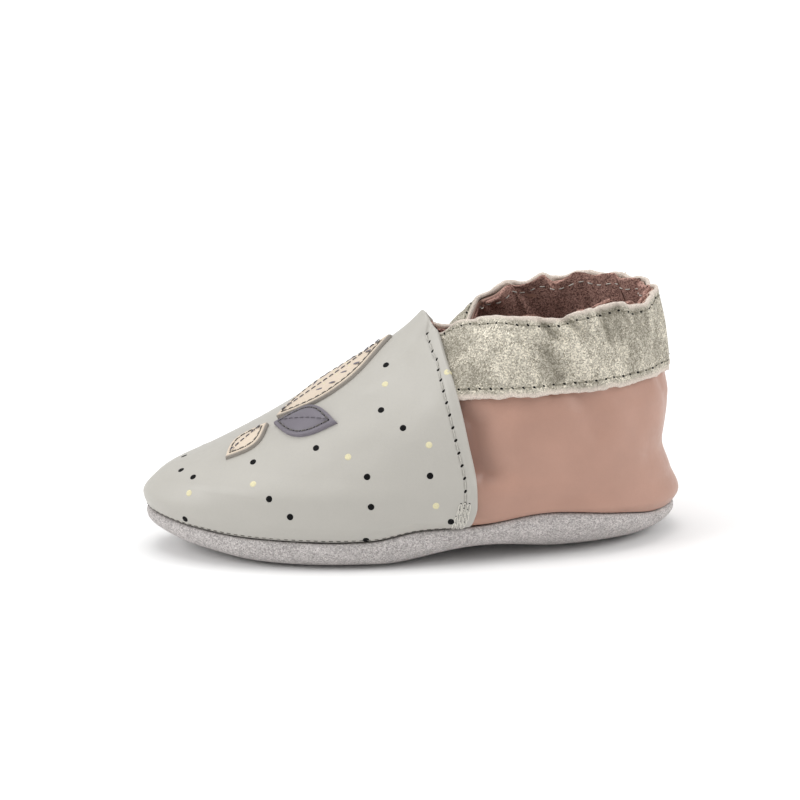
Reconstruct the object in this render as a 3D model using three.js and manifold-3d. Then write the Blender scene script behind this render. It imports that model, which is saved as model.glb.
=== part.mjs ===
// A soft leather slipper for a small child, for the left foot.
// It is a turned shoe: a suede sole curls up to a seam all round, an upper shell stands on that seam, a smooth
// vamp laps over its front, a gathered cuff wraps its collar, and three leather leaves are sewn on the vamp.
// Lengths are millimetres. The toe points to -X and the heel to +X, the outer side of the foot faces -Y, +Z is up,
// and the origin lies on the floor under the middle of the shoe.
import * as THREE from "three";
import { mergeVertices } from "three/addons/utils/BufferGeometryUtils.js";
import Module from "manifold-3d";

const wasm = await Module();
wasm.setup();

// Overall sizes.
const LENGTH = 130;
const BALL_WIDTH = 60;
const INSTEP_HEIGHT = 56.2;
const COLLAR_HEIGHT = 60.6;
const SEAM_HEIGHT = 10.4;
const TOE_SPRING = 4.6;
const ARCH_LIFT = 2.2;
const HEEL_SPRING = 1;

// Walls, and the clearance between neighbouring pieces.
const UPPER_WALL = 1.3;
const VAMP_WALL = 1.2;
const CUFF_WALL = 1;
const SOLE_WALL = 2;
const INSOLE_WALL = 1.5;
const LEAF_WALL = 1.1;
const CLEARANCE = 0.3;

// How pieces lap.
const CUFF_TUCK = 5;
const CUFF_PROUD = 0.5;
const CUFF_LIFT = 6;
const LAP_AHEAD = 10;
const LAP_BEHIND = 8;
const LAP_PRESS = 0.9;
const SOLE_ROLL = 1.2;
const FOLD_DEPTH = 1.5;
const FOLD_DROP = 0.8;

// A middling leaf's size, and how far from the toe the leaves' feet lie.
const LEAF_LENGTH = 20;
const LEAF_WIDTH = 10;
const LEAF_PLACE = 32;

// Rises, on a scale from 0 at the sole seam to 1 at the topline: where the cuff and the collar's pinch start, where
// the outline has come over to the topline's, and how far up the seam's wave and the level of the rim fade out.
const CUFF_RISE = 0.66;
const PINCH_RISE = 0.5;
const TOPLINE_RISE = 0.95;
const SEAM_FADE = 0.3;
const RIM_FADE = 0.12;

// How far below the cuff's rise the gathers start and the upper sinks in for the cuff, and where on the gathers'
// own scale, which has the vamp's edge at 1, they run out.
const GATHER_BELOW = 0.08;
const SEAT_BELOW = 0.11;
const GATHER_FULL = 0.94;
const GATHER_END = 1.02;

// Rings of the outer form, from the sole seam up to the topline.
// front and back are shares of the length, half a share of half the ball width,
// low (over the toe) a share of the instep height, and high (at the heel) a share of the collar height.
const RINGS = [
  { rise: 0.0, front: 0.0075, back: 0.988, half: 0.92, low: 0.185, high: 0.114 },
  { rise: 0.08, front: 0.0005, back: 1, half: 0.967, low: 0.242, high: 0.162 },
  { rise: 0.2, front: 0.031, back: 0.985, half: 0.967, low: 0.324, high: 0.248 },
  { rise: 0.35, front: 0.117, back: 0.974, half: 0.933, low: 0.406, high: 0.37 },
  { rise: 0.5, front: 0.235, back: 0.98, half: 0.88, low: 0.535, high: 0.512 },
  { rise: 0.66, front: 0.354, back: 0.983, half: 0.807, low: 0.705, high: 0.663 },
  { rise: 0.82, front: 0.446, back: 0.979, half: 0.733, low: 0.85, high: 0.82 },
  { rise: 1.0, front: 0.531, back: 0.969, half: 0.653, low: 1.0, high: 0.985 },
];

// The foot's outline at the sole seam, from toe to heel: centre is a share of the ball width (+ is inwards),
// half scales the ring's half width, and seam is the seam's rise over a straight line, a share of its height.
const OUTLINE = [
  { at: 0.0, centre: 0.06, half: 0.96, seam: 0.0 },
  { at: 0.08, centre: 0.046, half: 1.0, seam: -0.14 },
  { at: 0.18, centre: 0.027, half: 1.02, seam: -0.22 },
  { at: 0.3, centre: 0.012, half: 1.03, seam: -0.22 },
  { at: 0.4, centre: 0.003, half: 1.015, seam: -0.17 },
  { at: 0.5, centre: -0.008, half: 0.985, seam: 0.07 },
  { at: 0.6, centre: -0.015, half: 0.97, seam: 0.14 },
  { at: 0.74, centre: -0.008, half: 1.03, seam: 0.37 },
  { at: 0.88, centre: 0.002, half: 1.14, seam: 0.19 },
  { at: 0.96, centre: 0.006, half: 1.16, seam: 0.02 },
  { at: 1.0, centre: 0.008, half: 1.16, seam: 0.0 },
];

// The topline, from the throat to the heel: half scales the ring's half width, pinch is how much of that the
// gathers draw in, and the rises of its outer and inner side over a straight line are shares of the collar height.
const TOPLINE = [
  { at: 0.0, half: 1.4, pinch: 0.4, outer: 0.0, inner: 0.0 },
  { at: 0.045, half: 1.28, pinch: 0.42, outer: -0.055, inner: -0.06 },
  { at: 0.12, half: 1.1, pinch: 0.45, outer: -0.025, inner: -0.085 },
  { at: 0.2, half: 1.03, pinch: 0.36, outer: -0.003, inner: -0.09 },
  { at: 0.26, half: 1.0, pinch: 0.21, outer: 0.013, inner: -0.03 },
  { at: 0.32, half: 1.0, pinch: 0.1, outer: 0.022, inner: 0.008 },
  { at: 0.4, half: 1.0, pinch: 0.02, outer: 0.022, inner: 0.0 },
  { at: 0.47, half: 1.0, pinch: 0, outer: 0.01, inner: 0.012 },
  { at: 0.54, half: 1.0, pinch: 0, outer: 0.002, inner: 0.008 },
  { at: 0.6, half: 1.01, pinch: 0, outer: 0.016, inner: -0.002 },
  { at: 0.7, half: 1.02, pinch: 0, outer: 0.027, inner: 0.016 },
  { at: 0.8, half: 1.01, pinch: 0, outer: 0.025, inner: 0.03 },
  { at: 0.9, half: 1.0, pinch: 0, outer: 0.005, inner: 0.017 },
  { at: 1.0, half: 1.0, pinch: 0, outer: 0.0, inner: 0.0 },
];

// Where the vamp's rear edge lies at each rise, a share of the length.
const VAMP_EDGE = [
  { rise: 0.0, place: 0.589 },
  { rise: 0.06, place: 0.598 },
  { rise: 0.16, place: 0.608 },
  { rise: 0.3, place: 0.609 },
  { rise: 0.5, place: 0.595 },
  { rise: 0.66, place: 0.581 },
  { rise: 0.82, place: 0.564 },
  { rise: 1.0, place: 0.551 },
];

// The underside, from toe to heel: shares of the toe spring, arch lift and heel spring,
// and the share of the half width that lies flat before the sole curls up.
const UNDERSIDE = [
  { at: 0.0, toe: 1.0, arch: 0, heel: 0, flat: 0.55 },
  { at: 0.1, toe: 0.4, arch: 0, heel: 0, flat: 0.6 },
  { at: 0.2, toe: 0.05, arch: 0, heel: 0, flat: 0.68 },
  { at: 0.27, toe: 0, arch: 0, heel: 0, flat: 0.7 },
  { at: 0.42, toe: 0, arch: 0, heel: 0, flat: 0.7 },
  { at: 0.6, toe: 0, arch: 1, heel: 0, flat: 0.45 },
  { at: 0.76, toe: 0, arch: 0, heel: 0, flat: 0.34 },
  { at: 0.88, toe: 0, arch: 0, heel: 0, flat: 0.38 },
  { at: 1.0, toe: 0, arch: 0, heel: 1, flat: 0.5 },
];

// Gathers of the cuff. place runs from -1 at the vamp's edge on the outer side over 0 at the heel to 1 at its
// edge on the inner side, width is on the same scale, depth a share of the fold depth,
// and lean how far a fold's foot lies from its top.
const GATHERS = [
  { place: -0.86, depth: 0.3, width: 0.07, lean: 0.0 },
  { place: -0.7, depth: 0.45, width: 0.06, lean: 0.03 },
  { place: -0.52, depth: 0.5, width: 0.05, lean: 0.1 },
  { place: -0.41, depth: 1.0, width: 0.045, lean: 0.12 },
  { place: -0.29, depth: 0.9, width: 0.045, lean: 0.1 },
  { place: -0.18, depth: 0.8, width: 0.04, lean: 0.06 },
  { place: -0.07, depth: 1.0, width: 0.04, lean: 0.0 },
  { place: 0.07, depth: 0.8, width: 0.045, lean: -0.03 },
  { place: 0.2, depth: 0.7, width: 0.05, lean: -0.05 },
  { place: 0.33, depth: 0.9, width: 0.05, lean: -0.06 },
  { place: 0.47, depth: 0.7, width: 0.05, lean: -0.04 },
  { place: 0.6, depth: 0.9, width: 0.05, lean: 0.02 },
  { place: 0.73, depth: 0.8, width: 0.05, lean: 0.0 },
  { place: 0.88, depth: 0.4, width: 0.06, lean: 0.0 },
];

// The sewn-on leaves, flat on the slope of the vamp. x and y are where a leaf's foot lies, from the toe and from the
// middle line, as shares of the leaves' place and of the leaf width, long and wide are shares of the leaf length and
// width, turn is its heading in degrees from the direction of the heel, and bulge places its widest point.
const LEAVES = [
  { name: "leaf_long", x: 1.03125, y: -0.25, long: 1.7, wide: 1.3, turn: 5, bulge: 0.45, colour: "#f1ddc6" },
  { name: "leaf_dark", x: 1, y: -0.5, long: 0.9, wide: 0.95, turn: -42, bulge: 0.5, colour: "#6d6874" },
  { name: "leaf_side", x: 0.96875, y: -0.3, long: 0.7, wide: 0.8, turn: -155, bulge: 0.5, colour: "#efd6bd" },
];
const LEAF_SLOPE = 0.6;
const LEAF_POINTS = 12;
const LEAF_SWELL = 1.1;

// How finely the forms are divided.
const VAMP_STEPS = 13;
const LAP_STEPS = 2;
const QUARTER_STEPS = 29;
const RISES = [0, 0.04, 0.08, 0.16, 0.28, 0.42, 0.55, CUFF_RISE, 0.745, 0.83, 0.915, 1];
const SOLE_STEPS = [0, 0.15, 0.3, 0.45, 0.6, 0.8, 0.95];
const INSOLE_STEPS = [0.25, 0.42, 0.6, 0.95];
const TOE_CROWDING = 1.2;
const TINY = 1e-3;
const MERGE_WITHIN = 1e-4;

// The sole's curl: the step at which it ends, the step up to which its rim is bent level, its fullness as a power,
// and how much of its length the spine leaves out.
const CURL_END = 0.6;
const SOLE_RIM_FADE = 0.3;
const CURL_FULLNESS = 0.9;
const SPINE_SHARE = 0.46;

// A smooth curve through one column of a table, as a cubic between rows that never overshoots them.
function smooth(table, key, column, at) {
  const last = table.length - 1;
  const value = Math.min(Math.max(at, table[0][key]), table[last][key]);
  let row = 0;
  while (row < last - 1 && value > table[row + 1][key]) row++;
  const step = (i) => table[i + 1][key] - table[i][key];
  const slope = (i) => (table[i + 1][column] - table[i][column]) / step(i);
  const tangent = (i) => {
    if (i === 0) return slope(0);
    if (i === last) return slope(last - 1);
    const [before, after] = [slope(i - 1), slope(i)];
    if (before * after <= 0) return 0;
    const [near, far] = [2 * step(i) + step(i - 1), step(i) + 2 * step(i - 1)];
    return (near + far) / (near / before + far / after);
  };
  const t = (value - table[row][key]) / step(row);
  const [a, b] = [table[row][column], table[row + 1][column]];
  const lean = step(row) * (t ** 3 - 2 * t ** 2 + t) * tangent(row);
  const leanNext = step(row) * (t ** 3 - t ** 2) * tangent(row + 1);
  return (2 * t ** 3 - 3 * t ** 2 + 1) * a + lean + (3 * t ** 2 - 2 * t ** 3) * b + leanNext;
}

// Rises smoothly from 0 to 1 as value goes from start to end.
const ramp = (start, end, value) => THREE.MathUtils.smoothstep((value - start) / (end - start), 0, 1);
const mix = THREE.MathUtils.lerp;

// The angle round a ring, from 0 at the toe to pi at the heel, at which it has come a share of the way back.
const angleOfShare = (share) => Math.acos(1 - 2 * THREE.MathUtils.clamp(share, 0, 1));

// The angle at which the vamp's edge crosses the ring of this rise.
function edgeAngle(rise) {
  const front = smooth(RINGS, "rise", "front", rise);
  const back = smooth(RINGS, "rise", "back", rise);
  return angleOfShare((smooth(VAMP_EDGE, "rise", "place", rise) - front) / (back - front));
}

// Depth of the gathers at a signed angle, from 0 where the cuff is smooth.
function gatherDepth(angle, rise) {
  const edge = edgeAngle(rise);
  const fromHeel = (Math.sign(angle) * (Math.PI - Math.abs(angle))) / (Math.PI - edge);
  const fade = ramp(CUFF_RISE - GATHER_BELOW, 1, rise) * ramp(GATHER_END, GATHER_FULL, Math.abs(fromHeel));
  const folds = GATHERS.map((g) => {
    const away = fromHeel - g.place - g.lean * (1 - rise);
    return g.depth * Math.exp(-((away / g.width) ** 2));
  });
  return fade * folds.reduce((sum, depth) => sum + depth, 0);
}

// A point of the outer form. The angle runs from -pi to pi: 0 is the toe, negative the outer side of the foot.
function formPoint(angle, rise) {
  const share = (1 - Math.cos(angle)) / 2;
  const front = LENGTH * smooth(RINGS, "rise", "front", rise);
  const back = LENGTH * smooth(RINGS, "rise", "back", rise);
  const width = (BALL_WIDTH / 2) * smooth(RINGS, "rise", "half", rise);
  const collar = ramp(0, TOPLINE_RISE, rise);
  const pinch = smooth(TOPLINE, "at", "pinch", share) * ramp(PINCH_RISE, 1, rise);
  const half = mix(smooth(OUTLINE, "at", "half", share), smooth(TOPLINE, "at", "half", share), collar) * (1 - pinch);
  const centre = BALL_WIDTH * smooth(OUTLINE, "at", "centre", share) * (1 - collar);
  const low = INSTEP_HEIGHT * smooth(RINGS, "rise", "low", rise);
  const high = COLLAR_HEIGHT * smooth(RINGS, "rise", "high", rise);
  const seam = SEAM_HEIGHT * smooth(OUTLINE, "at", "seam", share) * Math.max(0, 1 - rise / SEAM_FADE) ** 2;
  const wave = COLLAR_HEIGHT * smooth(TOPLINE, "at", angle < 0 ? "outer" : "inner", share);
  const top = Math.max(0, (rise - CUFF_RISE) / (1 - CUFF_RISE));
  const folds = gatherDepth(angle, rise);
  const inward = 1 - (folds * FOLD_DEPTH) / width;
  const middle = (front + back) / 2;
  return new THREE.Vector3(
    middle + (front + (back - front) * share - middle) * inward - LENGTH / 2,
    centre + Math.sin(angle) * width * half * inward,
    mix(low, high, share) + seam + top * wave - top ** 2 * folds * FOLD_DROP,
  );
}

// A point of the sole's outer face. step 0 is the seam, CURL_END where the sole comes down flat, 1 its spine.
function solePoint(angle, step) {
  const rim = formPoint(angle, 0);
  const share = (1 - Math.cos(angle)) / 2;
  const flat = smooth(UNDERSIDE, "at", "flat", share);
  const curl = (Math.min(step / CURL_END, 1) * Math.PI) / 2;
  const width = (BALL_WIDTH / 2) * smooth(RINGS, "rise", "half", 0);
  const roll = (SOLE_ROLL / width) * Math.sin(2 * curl);
  const curled = flat + (1 - flat) * Math.cos(curl) ** CURL_FULLNESS + roll;
  const reach = step > CURL_END ? (flat * (1 - step)) / (1 - CURL_END) : curled;
  const centre = BALL_WIDTH * smooth(OUTLINE, "at", "centre", share);
  const x = rim.x * (1 - (1 - reach) * SPINE_SHARE);
  const at = x / LENGTH + 0.5;
  const base =
    TOE_SPRING * smooth(UNDERSIDE, "at", "toe", at) +
    ARCH_LIFT * smooth(UNDERSIDE, "at", "arch", at) +
    HEEL_SPRING * smooth(UNDERSIDE, "at", "heel", at);
  const seam = rim.z - CLEARANCE;
  return new THREE.Vector3(x, centre + (rim.y - centre) * reach, base + (seam - base) * (1 - Math.sin(curl)));
}

// Moves a surface point out along the surface's normal, which turn = 1 or -1 points outwards.
// Near the sole seam, within level, the direction bends to horizontal, so that all rims there lie level.
function offsetPoint(surface, angle, second, distance, turn, level) {
  const [below, above] = [Math.max(0, second - TINY), Math.min(1, second + TINY)];
  const along = surface(angle + TINY, second).sub(surface(angle - TINY, second));
  const across = surface(angle, above).sub(surface(angle, below));
  const normal = across.cross(along).normalize().multiplyScalar(turn);
  normal.z *= ramp(0, level, second);
  return surface(angle, second).addScaledVector(normal.normalize(), distance);
}

const upperSkin = (angle, rise, distance) => offsetPoint(formPoint, angle, rise, distance, 1, RIM_FADE);
const soleSkin = (angle, step, distance) => offsetPoint(solePoint, angle, step, distance, -1, SOLE_RIM_FADE);

// Half the stations round the shoe. 0 is the ridge of the toe, 1 the cuff's tucked end, 2 the vamp's edge
// and 3 the back of the heel.
const spread = (from, to, steps) => Array.from({ length: steps }, (_, i) => from + ((to - from) * i) / steps);
const HALF_STATIONS = [...spread(0, 1, VAMP_STEPS), ...spread(1, 2, LAP_STEPS), ...spread(2, 3, QUARTER_STEPS), 3];
const OUTER_SIDE = HALF_STATIONS.map((station) => ({ side: -1, station }));
const INNER_SIDE = HALF_STATIONS.map((station) => ({ side: 1, station }));

// All stations round the shoe, back along the first side and forward along the second.
const roundBy = (first, second) => [...first, ...second.slice(1, -1).reverse()];
const UPPER_RING = roundBy(INNER_SIDE, OUTER_SIDE);
const SOLE_RING = roundBy(OUTER_SIDE, INNER_SIDE);

// The vamp's stations run from edge to edge over the toe, the cuff's from end to end round the heel.
const VAMP_STATIONS = [...OUTER_SIDE.slice(1).reverse(), ...INNER_SIDE].filter((p) => p.station <= 2);
const CUFF_STATIONS = [...INNER_SIDE, ...OUTER_SIDE.slice(0, -1).reverse()].filter((p) => p.station >= 1);

// The signed angle of a station on the ring of this rise.
function stationAngle({ side, station }, rise) {
  const edge = edgeAngle(rise);
  const speed = formPoint(edge + TINY, rise).distanceTo(formPoint(edge - TINY, rise)) / (2 * TINY);
  const tuck = edge - CUFF_TUCK / speed;
  if (station <= 1) return side * station ** TOE_CROWDING * tuck;
  if (station <= 2) return side * mix(tuck, edge, station - 1);
  return side * mix(edge, Math.PI, station - 2);
}

// How far ahead of the vamp's edge a station lies, negative behind it.
function aheadOfEdge(place, rise) {
  const angle = Math.abs(stationAngle(place, rise));
  const edge = edgeAngle(rise);
  return formPoint(angle, rise).distanceTo(formPoint(edge, rise)) * Math.sign(edge - angle);
}

// How near a station lies to the cuff's tucked end, where vamp, cuff and upper lie on each other.
const overCuffEnd = (place, rise) => ramp(CUFF_TUCK + CUFF_LIFT, CUFF_TUCK, aheadOfEdge(place, rise)) * cuffed(rise);
const cuffed = (rise) => ramp(CUFF_RISE - SEAT_BELOW, CUFF_RISE, rise);

// How far the upper's outer face lies from the outer form: it sinks under the vamp and under the cuff.
function upperSink(place, rise) {
  const away = aheadOfEdge(place, rise);
  const ahead = ramp(-LAP_BEHIND, LAP_AHEAD, away);
  const pressed = LAP_PRESS * overCuffEnd(place, rise) * ramp(-LAP_BEHIND, 0, away);
  const underCuff = (CLEARANCE + CUFF_WALL - CUFF_PROUD) * cuffed(rise) * (1 - ahead);
  return -(VAMP_WALL + CLEARANCE) * ahead - underCuff - pressed;
}

// How far the vamp's inner face stands off the upper: more where the cuff's end is tucked in between.
function vampStand(place, rise) {
  return CLEARANCE + (CLEARANCE + CUFF_WALL) * overCuffEnd(place, rise);
}

// A closed layer between two faces over the same stations and levels. levels run from the seam outwards.
function layerGeometry(places, levels, outerFace, innerFace, { ring = false, capped = false } = {}) {
  const count = places.length;
  const points = [];
  for (const face of [outerFace, innerFace])
    for (const level of levels) for (const place of places) points.push(face(place, level));
  const index = (face, level, place) => (face * levels.length + level) * count + (place % count);
  const triangles = [];
  const quad = (a, b, c, d) => triangles.push(a, b, c, a, c, d);
  const columns = ring ? count : count - 1;
  const last = levels.length - 1;
  for (let j = 0; j < columns; j++) {
    for (let i = 0; i < last; i++) {
      quad(index(0, i, j), index(0, i + 1, j), index(0, i + 1, j + 1), index(0, i, j + 1));
      quad(index(1, i, j), index(1, i, j + 1), index(1, i + 1, j + 1), index(1, i + 1, j));
    }
    quad(index(0, 0, j), index(0, 0, j + 1), index(1, 0, j + 1), index(1, 0, j));
    if (!capped) quad(index(0, last, j), index(1, last, j), index(1, last, j + 1), index(0, last, j + 1));
  }
  if (!ring)
    for (let i = 0; i < last; i++) {
      quad(index(0, i, 0), index(1, i, 0), index(1, i + 1, 0), index(0, i + 1, 0));
      quad(index(0, i, columns), index(0, i + 1, columns), index(1, i + 1, columns), index(1, i, columns));
    }
  // A cap joins each place on one side with its mirror place on the other, like the rungs of a ladder.
  if (capped)
    for (let j = 0; j < count / 2; j++) {
      const [a, b, c, d] = [j, j + 1, count - j - 1, count - j];
      quad(index(0, last, a), index(0, last, d), index(0, last, c), index(0, last, b));
      quad(index(1, last, a), index(1, last, b), index(1, last, c), index(1, last, d));
    }
  const geometry = new THREE.BufferGeometry().setFromPoints(points);
  geometry.setIndex(triangles.filter((_, k) => !isFlat(triangles, k)));
  return geometry;
}

// Whether the triangle that holds this corner uses one vertex twice, as at a cap's two ends.
function isFlat(triangles, corner) {
  const start = corner - (corner % 3);
  const [a, b, c] = triangles.slice(start, start + 3);
  return a === b || b === c || c === a;
}

function meshOf(name, geometry, colour, roughness, metalness = 0) {
  const flat = geometry.toNonIndexed();
  flat.computeVertexNormals();
  const mesh = new THREE.Mesh(flat, new THREE.MeshStandardMaterial({ color: colour, roughness, metalness }));
  mesh.name = name;
  return mesh;
}

// Manifold solids, for cutting the leaves.
function toSolid(geometry) {
  const bare = geometry.clone();
  bare.deleteAttribute("normal");
  bare.deleteAttribute("uv");
  const merged = mergeVertices(bare, MERGE_WITHIN);
  const vertProperties = new Float32Array(merged.attributes.position.array);
  const triVerts = new Uint32Array(merged.index.array);
  return new wasm.Manifold(new wasm.Mesh({ numProp: 3, vertProperties, triVerts }));
}

function fromSolid(solid) {
  const { vertProperties, triVerts } = solid.getMesh();
  const geometry = new THREE.BufferGeometry();
  geometry.setAttribute("position", new THREE.BufferAttribute(new Float32Array(vertProperties), 3));
  geometry.setIndex(Array.from(triVerts));
  return geometry;
}

// The sole: a suede dish that lies flat under ball and heel and curls up to the seam.
function makeOutsole() {
  const face = (sink) => (place, step) => soleSkin(stationAngle(place, 0), step, -sink);
  const geometry = layerGeometry(SOLE_RING, SOLE_STEPS, face(0), face(SOLE_WALL), { ring: true, capped: true });
  return meshOf("outsole", geometry, "#b3b2af", 0.95);
}

// The insole: a thin suede lining that lies in the dish.
function makeInsole() {
  const face = (sink) => (place, step) => soleSkin(stationAngle(place, 0), step, -sink);
  const bottom = SOLE_WALL + CLEARANCE;
  const faces = [face(bottom), face(bottom + INSOLE_WALL)];
  const geometry = layerGeometry(SOLE_RING, INSOLE_STEPS, ...faces, { ring: true, capped: true });
  return meshOf("insole", geometry, "#8d7169", 0.95);
}

const upperFace = (distance) => (place, rise) =>
  upperSkin(stationAngle(place, rise), rise, upperSink(place, rise) + distance);
const vampFace = (distance) => (place, rise) => upperFace(vampStand(place, rise) + distance)(place, rise);

// The upper: one hollow shell from toe to heel, open underneath and at the collar.
function makeUpper() {
  const geometry = layerGeometry(UPPER_RING, RISES, upperFace(0), upperFace(-UPPER_WALL), { ring: true });
  return meshOf("upper", geometry, "#b58d7f", 0.6);
}

// The vamp: smooth leather over the front of the upper, lapped over its sides and over the cuff's ends.
function makeVamp() {
  const geometry = layerGeometry(VAMP_STATIONS, RISES, vampFace(VAMP_WALL), vampFace(0));
  return meshOf("vamp", geometry, "#c8c8c2", 0.45);
}

// The cuff: a gathered band round the collar, with both ends tucked under the vamp.
function makeCuff() {
  const rises = RISES.filter((rise) => rise >= CUFF_RISE);
  const faces = [upperFace(CLEARANCE + CUFF_WALL), upperFace(CLEARANCE)];
  return meshOf("cuff", layerGeometry(CUFF_STATIONS, rises, ...faces), "#bdb397", 0.5, 0.35);
}

// A leaf's outline: two equal curves from its foot to its point, widest at bulge.
function leafShape(length, width, bulge) {
  const side = (sign) => (t) => {
    const swell = Math.sin(Math.PI * t ** (Math.log(0.5) / Math.log(bulge))) ** LEAF_SWELL;
    return new THREE.Vector2(t * length, (sign * swell * width) / 2);
  };
  const steps = Array.from({ length: LEAF_POINTS }, (_, i) => i / LEAF_POINTS);
  return new THREE.Shape([...steps.map(side(-1)), ...steps.map((t) => side(1)(1 - t))]);
}

// A block with a leaf's outline, grown by a margin, that stands square on the slope of the vamp.
function leafBlock(leaf, margin) {
  const fromToe = LEAF_PLACE * leaf.x;
  const shape = leafShape(LEAF_LENGTH * leaf.long + 2 * margin, LEAF_WIDTH * leaf.wide + 2 * margin, leaf.bulge);
  const block = new THREE.ExtrudeGeometry(shape, { depth: 2 * INSTEP_HEIGHT, bevelEnabled: false });
  block.translate(-margin, 0, -INSTEP_HEIGHT);
  block.rotateZ(THREE.MathUtils.degToRad(leaf.turn));
  block.translate(0, LEAF_WIDTH * leaf.y, 0);
  block.rotateY(-LEAF_SLOPE);
  block.translate(fromToe - LENGTH / 2, 0, ridgeHeight(fromToe));
  return toSolid(block);
}

// Height of the vamp's ridge this far from the toe.
function ridgeHeight(fromToe) {
  const row = RINGS.findIndex((ring) => ring.front * LENGTH > fromToe);
  const [a, b] = [RINGS[row - 1], RINGS[row]];
  const t = (fromToe / LENGTH - a.front) / (b.front - a.front);
  return INSTEP_HEIGHT * mix(a.low, b.low, t);
}

// The leaves: each is cut out of one layer that lies on the vamp, and makes room for the leaves after it.
function makeLeaves() {
  const bottom = VAMP_WALL + CLEARANCE;
  const layer = toSolid(layerGeometry(VAMP_STATIONS, RISES, vampFace(bottom + LEAF_WALL), vampFace(bottom)));
  return LEAVES.map((leaf, i) => {
    let solid = layer.intersect(leafBlock(leaf, 0));
    for (const over of LEAVES.slice(i + 1)) solid = solid.subtract(leafBlock(over, CLEARANCE));
    return meshOf(leaf.name, fromSolid(solid), leaf.colour, 0.6);
  });
}

const slipper = new THREE.Group();
slipper.name = "slipper";
slipper.add(makeOutsole(), makeInsole(), makeUpper(), makeVamp(), makeCuff(), ...makeLeaves());

export default slipper;
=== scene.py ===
import math

import bpy
import numpy as np
from bpy.props import FloatProperty, FloatVectorProperty, PointerProperty
from mathutils import Matrix, Vector


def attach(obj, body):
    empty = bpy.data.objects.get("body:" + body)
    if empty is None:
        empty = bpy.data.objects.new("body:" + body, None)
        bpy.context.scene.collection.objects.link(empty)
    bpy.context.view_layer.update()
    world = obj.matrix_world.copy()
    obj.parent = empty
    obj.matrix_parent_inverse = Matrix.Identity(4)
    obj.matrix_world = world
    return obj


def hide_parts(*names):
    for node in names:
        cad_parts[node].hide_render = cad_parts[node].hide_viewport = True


bl_info = {
    "name": "Leather slipper",
    "version": (1, 0, 0),
    "blender": (4, 5, 0),
    "location": "View3D > Sidebar > Slipper",
    "description": "Leather, suede, stitches and soft relief for a child's slipper",
    "category": "Object",
}

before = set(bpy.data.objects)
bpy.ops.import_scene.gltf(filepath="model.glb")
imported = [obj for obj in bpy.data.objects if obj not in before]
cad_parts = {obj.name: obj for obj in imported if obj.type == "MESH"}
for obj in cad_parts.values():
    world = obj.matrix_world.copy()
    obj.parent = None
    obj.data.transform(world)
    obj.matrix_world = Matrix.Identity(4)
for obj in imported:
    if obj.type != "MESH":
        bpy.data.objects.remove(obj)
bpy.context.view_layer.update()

MM = 0.001
BODY = "root"

# Overall sizes.
LENGTH = 130 * MM
BALL_WIDTH = 60 * MM
INSTEP_HEIGHT = 56.2 * MM
COLLAR_HEIGHT = 60.6 * MM
SEAM_HEIGHT = 10.4 * MM
TOE_SPRING = 4.6 * MM
ARCH_LIFT = 2.2 * MM
HEEL_SPRING = 1 * MM

# Walls, and the clearance between neighbouring pieces.
UPPER_WALL = 1.3 * MM
QUARTER_WALL = 0.75 * MM
VAMP_WALL = 1.2 * MM
CUFF_WALL = 1 * MM
SOLE_WALL = 2 * MM
INSOLE_WALL = 1.5 * MM
LEAF_WALL = 1.1 * MM
CLEARANCE = 0.3 * MM

# How pieces lap.
CUFF_TUCK = 5 * MM
CUFF_PROUD = 0.5 * MM
CUFF_LIFT = 6 * MM
LAP_AHEAD = 10 * MM
LAP_BEHIND = 8 * MM
LAP_PRESS = 0.9 * MM
SOLE_ROLL = 1.2 * MM
FOLD_DEPTH = 1.5 * MM
FOLD_DROP = 0.8 * MM
TOE_PUFF = 0.6 * MM

# Rises run from 0 at the sole seam to 1 at the topline. These are where the cuff and the collar's pinch
# start, where the outline has become the topline's, and where the seam's wave and the level rim end.
CUFF_RISE = 0.66
PINCH_RISE = 0.5
TOPLINE_RISE = 0.95
SEAM_FADE = 0.3
RIM_FADE = 0.12

# Where the quarter, the lining and the cuff end below the topline.
QUARTER_TOP = 0.985
LINING_TOP = 0.997
CUFF_TOP = 0.996

# How far below the cuff's rise the gathers start and the upper sinks in for the cuff.
GATHER_BELOW = 0.08
SEAT_BELOW = 0.11

# The sole's curl: the step at which it ends, the step up to which its rim is bent level, its fullness as a
# power, and how much of its length the spine leaves out.
CURL_END = 0.6
SOLE_RIM_FADE = 0.3
CURL_FULLNESS = 0.9
SPINE_SHARE = 0.46

# Length of upper that one unit of rise, and one unit of place from the heel, stand for.
RISE_LENGTH = 58 * MM
PLACE_LENGTH = 62 * MM

# How far the soft foot of the upper rolls in to the seam, over which height, and its share behind the vamp,
# under the vamp and on the sole.
TUCK_RADIUS = 1 * MM
TUCK_HEIGHT = 1.2 * MM
TUCK_SHARES = (0.3, 0.8, 0.4)


def columns(names, *rows):
    """A table with named columns, each an array."""
    return dict(zip(names.split(), np.array(rows, float).T))


# Rings of the outer form, from the sole seam up to the topline. front and back are shares of the length,
# half one of half the ball width, low (toe) one of the instep height, high (heel) one of the collar height.
RINGS = columns(
    "rise front back half low high",
    (0.00, 0.0075, 0.988, 0.920, 0.185, 0.114),
    (0.08, 0.0005, 1.000, 0.967, 0.242, 0.162),
    (0.20, 0.0310, 0.985, 0.967, 0.324, 0.248),
    (0.35, 0.1170, 0.974, 0.933, 0.406, 0.370),
    (0.50, 0.2350, 0.980, 0.880, 0.535, 0.512),
    (0.66, 0.3540, 0.983, 0.807, 0.705, 0.663),
    (0.82, 0.4460, 0.979, 0.733, 0.850, 0.820),
    (1.00, 0.5310, 0.969, 0.653, 1.000, 0.985),
)

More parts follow.
